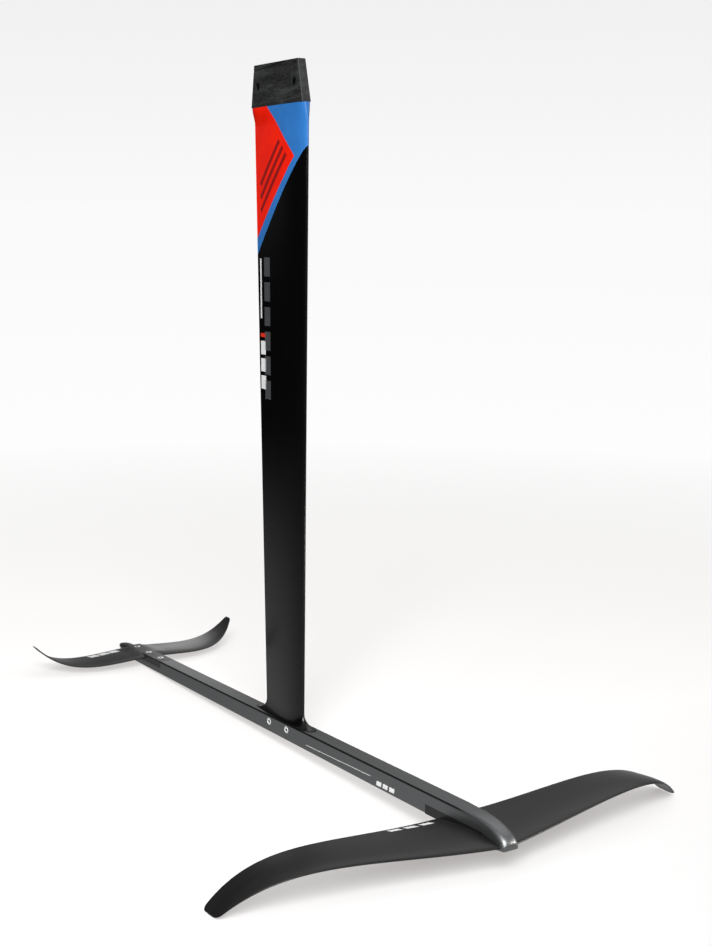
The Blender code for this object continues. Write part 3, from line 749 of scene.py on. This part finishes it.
def fuselage_ring(y, top, bottom, half_width):
    """Rectangle with small flat chamfers; its upper corners grow round towards the nose."""
    near_nose = smooth((NOSE_ROUND_START - y) / (NOSE_ROUND_START - NOSE_Y - 0.01))
    chamfer = min(FUSE_CHAMFER, 0.3 * (top - bottom))
    radius = min(NOSE_ROUND * near_nose, top - bottom - 1.4 * chamfer)
    upper = corner_points(half_width, top, 1, chamfer, radius)
    lower = corner_points(half_width, bottom, -1, chamfer, 0.0)
    right = lower[::-1] + upper
    left = [(-x, z) for x, z in reversed(right)]
    bow = NOSE_BOW * smooth((NOSE_Y + NOSE_LENGTH - y) / NOSE_LENGTH)
    return [Vector((x, y + bow * (x / half_width) ** 2, z)) for x, z in right + left]


def build_fuselage():
    rings = []
    nose_steps = 40
    for i in range(nose_steps):
        turn = math.pi / 2 * i / nose_steps
        ahead = math.cos(turn)
        sunk = 1 - math.sin(turn)
        y = NOSE_Y + NOSE_LENGTH * (1 - ahead)
        top = NOSE_TIP_Z + (FUSE_TOP - NOSE_TIP_Z) * math.sqrt(max(0.0, 1 - ahead**NOSE_POWER))
        flat_bottom = FUSE_TOP - fuselage_height(y)
        bottom = flat_bottom + (NOSE_BOTTOM_Z - flat_bottom) * sunk
        half_width = HALF_WIDTH * (1 - NOSE_NARROWING * sunk**3)
        rings.append(fuselage_ring(y, top, bottom, half_width))
    nose_end = NOSE_Y + NOSE_LENGTH
    for y in [nose_end + (FUSE_REAR_Y - nose_end) * i / 30 for i in range(31)]:
        rings.append(fuselage_ring(y, FUSE_TOP, FUSE_TOP - fuselage_height(y), HALF_WIDTH))
    body = add_object("fuselage_bar", loft(rings), ANODISED, 30)
    pocket_low = FOOT_LOW - Vector((GAP, GAP, GAP))
    pocket_high = Vector((FOOT_HIGH.x + GAP, FOOT_HIGH.y + GAP, FUSE_TOP + 0.01))
    cut_away(body, box(pocket_low, pocket_high))
    cut_away(body, tang_mesh(GAP))
    seat_low = (-0.02, TONGUE_FRONT_Y - GAP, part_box("tail_shim")[0].z - GAP)
    cut_away(body, box(seat_low, (0.02, 0.6, FUSE_TOP + 0.01)))
    for name in MAST_SCREWS:
        low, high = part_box(name)
        centre = Vector((0, (low.y + high.y) / 2, (low.z + high.z) / 2))
        hole = lathe([(0.0060, -0.02), (0.0060, -0.0105), (0.0045, -0.0085), (0.0045, 0.0085),
                      (0.0060, 0.0105), (0.0060, 0.02)], 48)
        cut_away(body, hole, matrix=axis_matrix(centre, (1, 0, 0)))
    resharpen(body, 30)
    return finish_piece(body, nodes=["fuselage"])


# ---- wings ------------------------------------------------------------------------------------
def edge_line(terms, a):
    return terms[0] + terms[1] * a + terms[2] * a**2 + terms[3] * a**6


def front_station(a):
    """Leading edge, trailing edge, height and half thickness of the front wing at a of the half span."""
    front = edge_line(FRONT_LE, a)
    rear = edge_line(FRONT_TE, a)
    z = FRONT_ROOT_Z + FRONT_RISE[0] * a**2 + FRONT_RISE[1] * a**4 + FRONT_RISE[2] * a**8
    return front, rear, z, (rear - front) * FRONT_THICKNESS / 2


def tail_station(a):
    front = edge_line(TAIL_LE, a)
    rear = edge_line(TAIL_TE, a)
    z = TAIL_ROOT_Z + TAIL_RISE[0] * a**2 + TAIL_RISE[1] * a**4 + TAIL_RISE[2] * a**8
    return front, rear, z, (rear - front) * TAIL_THICKNESS / 2


def root_rise(x, s, z):
    """Height that the tail wing's upper skin gains to meet the flat top face over the fuselage."""
    across = 1 - smooth((abs(x) - 0.011) / 0.026)
    along = smooth(s / 0.22) * smooth((1 - s) / 0.20)
    return max(0.0, FUSE_TOP - 0.0002 - z) * across * along


def wing_ring(station, x, a, tip_round, count=36):
    """Foil section; close to the tip its ends draw in so that the outline is rounded."""
    front, rear, z, half_max = station(a)
    chord = rear - front
    front += chord * 0.5 * tip_round[0]
    rear -= chord * 0.5 * tip_round[1]
    thin = tip_round[2]
    upper = []
    lower = []
    for s in chord_steps(count):
        half = max(foil_half_thickness(s) / 2 * half_max * thin, 0.0003)
        y = front + s * (rear - front)
        rise = root_rise(x, s, z + half) if station is tail_station else 0.0
        upper.append(Vector((x, y, z + half + rise)))
        lower.append(Vector((x, y, z - half * 0.85)))
    return upper + lower[::-1]


def wing_mesh(station, half_span, count=70):
    half = [math.sin(math.pi / 2 * i / count) for i in range(count + 1)]
    near_root = [0.004 * i / half_span for i in range(1, 10)]
    half += [a for a in near_root if min(abs(a - b) for b in half) > 0.004]
    half.sort()
    stations = [-a for a in half[:0:-1]] + half
    rings = []
    for a in stations:
        near = max(0.0, (abs(a) - 0.985) / 0.015)
        draw = 1 - math.sqrt(max(0.0, 1 - near**2))
        rings.append(wing_ring(station, a * half_span, abs(a), (draw * 0.50, draw * 0.35, 1 - draw * 0.55)))
    return loft(rings)


def tang_mesh(grow=0.0):
    bottom = 0.015 if grow else FUSE_TOP - fuselage_height(TANG_REAR_Y)
    top = TANG_TOP_Z + grow
    profile = [
        (TANG_REAR_Y + grow, bottom),
        (TANG_REAR_Y + grow, top),
        (TANG_SLOPE_Y, top),
        (TANG_FRONT_Y, FRONT_ROOT_Z + 0.001 + grow),
        (TANG_FRONT_Y, bottom),
    ]
    return prism(profile, HALF_WIDTH + grow)


def build_front_wing():
    wing = add_object("front_wing_skin", wing_mesh(front_station, FRONT_HALF_SPAN), FRONT_COAT, 40)
    cut_away(wing, tang_mesh(), "UNION")
    head_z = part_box(FRONT_SCREWS[0])[0].z
    for name in FRONT_SCREWS:
        low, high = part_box(name)
        centre = Vector((0, (low.y + high.y) / 2, head_z))
        hole = lathe([(0.0083, -0.012), (0.0083, 0.0005), (0.0043, 0.0045), (0.0043, 0.025)], 48)
        cut_away(wing, hole, matrix=Matrix.Translation(centre))
    resharpen(wing, 40)
    return finish_piece(wing, nodes=["front_wing"])


BULB_HALF_WIDTH = 0.0118
BULB_HALF_HEIGHT = 0.0062
BULB_Z = 0.0506
BULB_CORNER = 0.7             # below 1 the section is fuller than an ellipse


def tail_bulb_mesh():
    """Full oval knob behind the fuselage, closed round at its rear end."""
    rings = []
    start = FUSE_REAR_Y + 0.0015
    end = TAIL_HIGH.y
    for i in range(25):
        t = i / 24
        scale = max((1 - t**3.5) ** 0.5, 0.10)
        ring = []
        for k in range(40):
            angle = 2 * math.pi * k / 40
            across, up = (math.copysign(abs(part) ** BULB_CORNER, part)
                          for part in (math.cos(angle), math.sin(angle)))
            x = BULB_HALF_WIDTH * scale * across
            z = BULB_Z + BULB_HALF_HEIGHT * scale * up
            ring.append(Vector((x, start + (end - start) * t, z)))
        rings.append(ring)
    return loft(rings)


def build_tail_wing():
    wing = add_object("tail_wing_skin", wing_mesh(tail_station, TAIL_HALF_SPAN), TAIL_COAT, 40)
    tongue_low = (-HALF_WIDTH, TONGUE_FRONT_Y, FUSE_TOP - TONGUE_THICKNESS)
    tongue = box(tongue_low, (HALF_WIDTH, TONGUE_REAR_Y, FUSE_TOP))
    long_edges = [e for e in tongue.edges if all(v.co.z > FUSE_TOP - 0.001 for v in e.verts)
                  and abs(e.verts[0].co.x - e.verts[1].co.x) < 0.001]
    bmesh.ops.bevel(tongue, geom=long_edges, offset=FUSE_CHAMFER, segments=3, affect="EDGES")
    cut_away(wing, tongue, "UNION")
    cut_away(wing, tail_bulb_mesh(), "UNION")
    for name in TAIL_SCREWS:
        low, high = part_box(name)
        centre = Vector((0, (low.y + high.y) / 2, FUSE_TOP))
        hole = lathe([(0.0033, -0.02), (0.0033, -0.0033), (0.0062, -0.0004), (0.0062, 0.01)], 48)
        cut_away(wing, hole, matrix=Matrix.Translation(centre))
    resharpen(wing, 40)
    return finish_piece(wing, nodes=["tail_wing"])


# ---- marks on the bar and the wings -----------------------------------------------------------
def build_bar_marks():
    """A fine line and three equal slanted bars along each side of the fuselage."""
    marks = [stroke((-0.1028, -0.0184), (-0.2780, -0.0160), 0.0007)]
    for i in range(3):
        y = -0.2950 - 0.0160 * i
        marks.append([(y, -0.0182), (y - 0.0120, -0.0182), (y - 0.0104, -0.0250), (y + 0.0016, -0.0250)])
    for side, label in ((-1, "left"), (1, "right")):
        skin = bar_surface(side)
        prints = [printed(quad, skin, 2) for quad in marks]
        join_prints(f"bar_marks_{label}", prints, WHITE_INK)


def slanted_bars(x, y, pitch, width, depth, lean):
    """Three equal bars side by side in plan, each drawn from its trailing edge forwards."""
    bars = []
    for i in range(3):
        left = x + pitch * i
        right = left + width
        bars.append([(left, y), (right, y), (right + lean, y - depth), (left + lean, y - depth)])
    return bars


def build_wing_marks():
    """Three equal plain bars near the trailing edge of each wing's left half."""
    front = slanted_bars(-0.1080, -0.4530, 0.0260, 0.0180, 0.0075, 0.0040)
    tail = slanted_bars(-0.0960, 0.5290, 0.0200, 0.0165, 0.0175, 0.0035)
    skin = wing_top(front_station, FRONT_HALF_SPAN)
    join_prints("front_wing_marks", [printed(quad, skin) for quad in front], WHITE_INK)
    skin = wing_top(tail_station, TAIL_HALF_SPAN)
    join_prints("tail_wing_marks", [printed(quad, skin) for quad in tail], WHITE_INK)


# ---- fasteners --------------------------------------------------------------------------------
HEAD_CHAMFER = 0.0004
SCREW_SEGMENTS = 48
MAST_SCREW_SIZE = {"shank": 0.0025, "head": 0.0045, "socket": 0.0020, "pitch": 0.0008}
FRONT_SCREW_SIZE = {"shank": 0.0040, "head": 0.0080, "socket": 0.0029, "pitch": 0.00125}
TAIL_SCREW_SIZE = {"shank": 0.0030, "head": 0.0058, "socket": 0.0023, "pitch": 0.0010}


def hex_radius(angle, corner):
    from_flat = angle % (math.pi / 3) - math.pi / 6
    return corner * math.cos(math.pi / 6) / math.cos(from_flat)


def thread_radius(angle, height, size):
    """Height of a 60 degree thread's flank at an angle and a distance along the screw."""
    turn = (height / size["pitch"] - angle / (2 * math.pi)) % 1.0
    return size["shank"] - 0.55 * size["pitch"] * min(1.0, max(0.0, abs(2 * turn - 1) * 1.3 - 0.15))


def screw_rings(size, length):
    """From the bottom of the socket, over the head and down the thread to the point."""
    head = size["head"]
    shank = size["shank"]
    socket = size["socket"]
    depth = (head - shank) * 0.75 + 0.0008
    cone_end = HEAD_CHAMFER + head - shank
    turn = [2 * math.pi * i / SCREW_SEGMENTS for i in range(SCREW_SEGMENTS)]
    rings = [[(0.0003, depth + 0.0006)] * SCREW_SEGMENTS]
    rings.append([(hex_radius(a, socket * 0.96), depth) for a in turn])
    rings.append([(hex_radius(a, socket), depth - 0.0002) for a in turn])
    rings.append([(hex_radius(a, socket), 0.0003) for a in turn])
    rings.append([(socket * 1.08, 0.0) for a in turn])
    inner = len(rings) - 1
    neck = shank - 0.0001
    profile = [(head - 0.0005, 0.0), (head - 0.0002, 0.0001), (head - 0.0001, HEAD_CHAMFER * 0.7)]
    profile += [(head - 0.0001, HEAD_CHAMFER), (shank + 0.0001, cone_end), (neck, cone_end + 0.0004)]
    rings += [[point] * SCREW_SEGMENTS for point in profile]
    start = cone_end + 0.0010
    end = length - 0.0010
    steps = int((end - start) / size["pitch"] * 6)
    for i in range(steps + 1):
        height = start + (end - start) * i / steps
        fade = min(1.0, i / 6)
        rings.append([(neck - (neck - thread_radius(a, height, size)) * fade, height) for a in turn])
    rings.append([(shank - 0.0008, length - 0.0001)] * SCREW_SEGMENTS)
    points = []
    for ring in rings:
        points.append([Vector((r * math.cos(a), r * math.sin(a), h)) for (r, h), a in zip(ring, turn)])
    return points, inner


def build_screw(name, size, face, direction):
    low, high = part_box(name)
    length = max(high - low) if direction[2] else high.x - low.x
    rings, inner = screw_rings(size, length)
    bm = loft(rings)
    # socket walls and floor take the darkened steel: painted shade inside the hex socket
    bm.faces.ensure_lookup_table()
    for face_index in range(inner * SCREW_SEGMENTS):
        bm.faces[face_index].material_index = 1
    bm.faces[-2].material_index = 1
    bmesh.ops.transform(bm, matrix=axis_matrix(face, direction), verts=bm.verts)
    screw = add_object(f"{name}_detail", bm, [STEEL, STEEL_IN_PAINTED_SHADE], 30)
    return finish_piece(screw, f"{name}_body", [name])


def build_round(name, profile, origin, direction, mat):
    """Hollow turned piece that stands for the CAD node of the same name."""
    bm = lathe(profile, 64, hollow=True)
    bmesh.ops.transform(bm, matrix=axis_matrix(origin, direction), verts=bm.verts)
    return finish_piece(add_object(f"{name}_detail", bm, mat, 40), nodes=[name])


def build_fasteners():
    for name in MAST_SCREWS:
        low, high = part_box(name)
        build_screw(name, MAST_SCREW_SIZE, (low.x, (low.y + high.y) / 2, (low.z + high.z) / 2), (1, 0, 0))
    for name in FRONT_SCREWS:
        low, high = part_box(name)
        build_screw(name, FRONT_SCREW_SIZE, (0, (low.y + high.y) / 2, low.z), (0, 0, 1))
    for name in TAIL_SCREWS:
        low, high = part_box(name)
        build_screw(name, TAIL_SCREW_SIZE, (0, (low.y + high.y) / 2, high.z), (0, 0, -1))
    rim = [(0.0053, 0.0), (0.0056, 0.0001), (0.00575, 0.0004)]
    washer = [(0.0047, 0.0010), (0.0050, 0.0002), *rim, (0.00575, 0.0033)]
    washer += [(0.0042, 0.0048), (0.0029, 0.0048), (0.0029, 0.0030)]
    sleeve = [(0.0028, 0.0004), (0.0028, 0.0200), (0.0040, 0.0200), (0.0041, 0.0198), (0.0041, 0.0047)]
    sleeve += [(0.00575, 0.0030), *rim[::-1], (0.0032, 0.0)]
    for which in ("front", "rear"):
        low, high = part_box(f"mast_washer_{which}")
        middle = (low + high) / 2
        left = (low.x, middle.y, middle.z)
        build_round(f"mast_washer_{which}", washer, left, (1, 0, 0), STEEL)
        low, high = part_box(f"mast_sleeve_nut_{which}")
        right = (high.x, middle.y, middle.z)
        build_round(f"mast_sleeve_nut_{which}", sleeve, right, (-1, 0, 0), STEEL)


# ---- assembly ---------------------------------------------------------------------------------
def dress_cad_nodes():
    """The smaller CAD nodes get their material; the five large ones are all replaced."""
    mats = {
        "mast_core": FOAM,
        "mast_foot": FOOT_BLACK,
        "tail_shim": SHIM_BLACK,
        # the barrel nuts take the darkened steel: painted shade, so their bores read dark
        "barrel_nut_front": STEEL_IN_PAINTED_SHADE,
        "barrel_nut_rear": STEEL_IN_PAINTED_SHADE,
    }
    for name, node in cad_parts.items():
        mat = mats.get(name)
        if mat is None:
            mat = BRASS if "insert" in name or "sleeve" in name else STEEL
        if name in ("fuselage", "mast_shell", "board_head", "front_wing", "tail_wing"):
            continue
        node.data.materials.clear()
        node.data.materials.append(mat)
        node.data.shade_smooth()
        node.data.set_sharp_from_angle(angle=math.radians(30))


build_mast()
build_mast_marks()
build_head()
build_fuselage()
build_front_wing()
build_tail_wing()
build_bar_marks()
build_wing_marks()
build_fasteners()
dress_cad_nodes()


# ---- floor, light and camera ------------------------------------------------------------------
HORIZON_WHITE = 0.952
PAPER_FAR_WHITE = 0.985
SKY_WHITE = 0.880
ROOM_DARK = 0.007
BACK_DIRECTION = (0.55, 0.83, 0.0)
COOL_DIRECTION = (0.55, 0.41, 0.72)
WARM_DIRECTION = (0.90, -0.35, 0.25)


def build_floor():
    """The foil rests on its front tips and on the fuselage's rear end, so the floor leans."""
    rear_z = FUSE_TOP - FUSE_HEIGHT_REAR
    tip_y = (edge_line(FRONT_LE, 1.0) + edge_line(FRONT_TE, 1.0)) / 2
    lean = math.atan2(rear_z, FUSE_REAR_Y - tip_y)
    bm = bmesh.new()
    bmesh.ops.create_grid(bm, x_segments=8, y_segments=8, size=60)
    floor = add_object("studio_floor", bm, floor_material())
    floor.matrix_world = Matrix.Translation((0, tip_y, -0.0004)) @ Matrix.Rotation(lean, 4, "X")


def shader_mix(tree, fac, a, b):
    node = tree.nodes.new("ShaderNodeMixShader")
    tree.links.new(fac, node.inputs["Fac"])
    tree.links.new(a, node.inputs[1])
    tree.links.new(b, node.inputs[2])
    return node.outputs["Shader"]


def glow(tree, strength, color=(1.0, 1.0, 1.0)):
    node = tree.nodes.new("ShaderNodeEmission")
    node.inputs["Color"].default_value = (*color, 1)
    if isinstance(strength, float):
        node.inputs["Strength"].default_value = strength
    else:
        tree.links.new(strength, node.inputs["Strength"])
    return node.outputs["Emission"]


def floor_material():
    """Pale paper with some light of its own, so shadows stay soft; it meets the backdrop far away.

    The camera sees it white. Reflections see a dimmer paper, bright only near and beyond the foil.
    """
    n = Nodes("studio_paper")
    tree = n.tree
    patches = n.range(n.noise(0.6, 2), 0.3, 0.7, 0.0, 1.0)
    n.color(n.mix(patches, (0.520, 0.523, 0.526), (0.535, 0.538, 0.541)))
    n.set({"Roughness": 0.9, "Specular IOR Level": 0.0})
    reach = tree.nodes.new("ShaderNodeVectorMath")
    reach.operation = "LENGTH"
    n.link(n.coords, reach.inputs[0])
    reach = reach.outputs["Value"]
    paper = tree.nodes.new("ShaderNodeAddShader")
    n.link(n.shader.outputs["BSDF"], paper.inputs[0])
    own = n.range(n.axis("Y"), -0.6, 0.3, 0.145, 0.44)
    n.link(glow(tree, own, (1.0, 0.955, 0.93)), paper.inputs[1])
    far = glow(tree, n.range(reach, 2.5, 14.0, PAPER_FAR_WHITE, HORIZON_WHITE))
    seen = shader_mix(tree, n.range(reach, 0.7, 3.4, 0.0, 1.0), paper.outputs["Shader"], far)
    near = n.math("MULTIPLY", n.math("POWER", n.range(reach, 3.4, 0.3, 0.0, 1.0), 1.6), 0.46)
    x = n.axis("X")
    y = n.axis("Y")
    along = n.math("ADD", n.math("MULTIPLY", x, 0.55), n.math("MULTIPLY", y, 0.83))
    across = n.math("SUBTRACT", n.math("MULTIPLY", x, 0.83), n.math("MULTIPLY", y, 0.55))
    behind = n.range(along, 0.6, 3.0, 0.0, 0.75)
    beyond = n.math("MULTIPLY", behind, n.range(across, -1.4, -0.3, 0.0, 1.0))
    mirrored = glow(tree, n.math("MAXIMUM", near, beyond))
    eye = tree.nodes.new("ShaderNodeLightPath").outputs["Is Camera Ray"]
    n.link(shader_mix(tree, eye, mirrored, seen), tree.nodes["Material Output"].inputs["Surface"])
    return n.mat


def area_light(name, place, target, size, power, color=(1, 1, 1)):
    light = bpy.data.lights.new(name, "AREA")
    light.shape = "RECTANGLE"
    light.size, light.size_y = size
    light.energy = power
    light.color = color
    lamp = bpy.data.objects.new(name, light)
    bpy.context.scene.collection.objects.link(lamp)
    lamp.location = place
    lamp.rotation_euler = (Vector(target) - Vector(place)).to_track_quat("-Z", "Y").to_euler()
    lamp.visible_camera = False
    return lamp


def world_math(tree, operation, a, b):
    node = tree.nodes.new("ShaderNodeMath")
    node.operation = operation
    for socket, value in zip(node.inputs, (a, b)):
        if isinstance(value, float):
            socket.default_value = value
        else:
            tree.links.new(value, socket)
    return node.outputs[0]


def world_range(tree, value, low, high, to_low, to_high):
    ramp = tree.nodes.new("ShaderNodeMapRange")
    ramp.interpolation_type = "SMOOTHSTEP"
    for key, number in (("From Min", low), ("From Max", high), ("To Min", to_low), ("To Max", to_high)):
        ramp.inputs[key].default_value = number
    tree.links.new(value, ramp.inputs["Value"])
    return ramp.outputs["Result"]


def towards(tree, coords, direction):
    dot = tree.nodes.new("ShaderNodeVectorMath")
    dot.operation = "DOT_PRODUCT"
    dot.inputs[1].default_value = Vector(direction).normalized()
    tree.links.new(coords, dot.inputs[0])
    return dot.outputs["Value"]


def build_world():
    """Seamless white backdrop; what lights the foil is a dim room with a low glow behind it."""
    world = bpy.data.worlds.new("studio")
    world.use_nodes = True
    tree = world.node_tree
    coords = tree.nodes.new("ShaderNodeTexCoord").outputs["Generated"]
    up = towards(tree, coords, (0, 0, 1))
    behind = world_range(tree, towards(tree, coords, BACK_DIRECTION), 0.30, 0.90, 0.0, 1.0)
    rim = world_range(tree, up, -0.02, 0.08, 0.33, 0.0)
    rise = world_math(tree, "ADD", rim, world_range(tree, up, 0.18, 0.46, 0.165, 0.004))
    low_glow = world_math(tree, "MULTIPLY", behind, rise)
    overhead = world_range(tree, up, 0.45, 0.95, 0.0, 0.45)
    cool = world_range(tree, towards(tree, coords, COOL_DIRECTION), 0.86, 0.98, 0.0, 0.75)
    warm = world_range(tree, towards(tree, coords, WARM_DIRECTION), 0.93, 0.985, 0.0, 3.0)
    total = world_math(tree, "ADD", low_glow, world_math(tree, "ADD", overhead, ROOM_DARK))
    total = world_math(tree, "ADD", total, cool)
    lit = tree.nodes.new("ShaderNodeBackground")
    tree.links.new(world_math(tree, "ADD", total, warm), lit.inputs["Strength"])
    seen = tree.nodes.new("ShaderNodeBackground")
    tree.links.new(world_range(tree, up, 0.0, 0.16, HORIZON_WHITE, SKY_WHITE), seen.inputs["Strength"])
    for background in (lit, seen):
        background.inputs["Color"].default_value = (1, 1, 1, 1)
    eye = tree.nodes.new("ShaderNodeLightPath").outputs["Is Camera Ray"]
    surface = shader_mix(tree, eye, lit.outputs["Background"], seen.outputs["Background"])
    tree.links.new(surface, tree.nodes["World Output"].inputs["Surface"])
    bpy.context.scene.world = world


def build_light():
    """Key, shadowless fill, and two small lamps that show only in the gloss of nose and tail."""
    build_world()
    area_light("key_above", (-1.9, -3.1, 2.8), (0, -0.1, 0), (2.4, 2.4), 250)
    fill = area_light("side_fill", (-3.2, -0.6, 1.5), (0, 0, 0.75), (1.0, 1.0), 52)
    fill.data.use_shadow = False
    fill.visible_glossy = False
    nose = (0, NOSE_Y, NOSE_TIP_Z)
    glint = area_light("nose_glint", (0.385, -0.870, 0.160), nose, (0.14, 0.14), 1.5, (1.0, 0.93, 0.88))
    glint.visible_diffuse = False
    back = area_light("tail_glint", (0.37, 0.99, 0.17), (0.06, 0.50, 0.06), (0.22, 0.16), 0.20)
    back.visible_diffuse = False


def build_camera():
    forward = Vector((math.sin(CAMERA_YAW) * math.cos(CAMERA_PITCH),
                      math.cos(CAMERA_YAW) * math.cos(CAMERA_PITCH),
                      -math.sin(CAMERA_PITCH)))
    right = Vector((math.cos(CAMERA_YAW), -math.sin(CAMERA_YAW), 0))
    up = right.cross(forward)
    rolled_right = right * math.cos(CAMERA_ROLL) + up * math.sin(CAMERA_ROLL)
    rolled_up = up * math.cos(CAMERA_ROLL) - right * math.sin(CAMERA_ROLL)
    turn = Matrix((rolled_right, rolled_up, -forward)).transposed()
    data = bpy.data.cameras.new("studio_camera")
    data.sensor_width = 36
    data.lens = CAMERA_LENS
    data.clip_end = 100
    camera = bpy.data.objects.new("studio_camera", data)
    bpy.context.scene.collection.objects.link(camera)
    camera.matrix_world = Matrix.Translation(CAMERA_PLACE) @ turn.to_4x4()
    bpy.context.scene.camera = camera


build_floor()
build_light()
build_camera()
bpy.context.scene.view_settings.view_transform = "Standard"
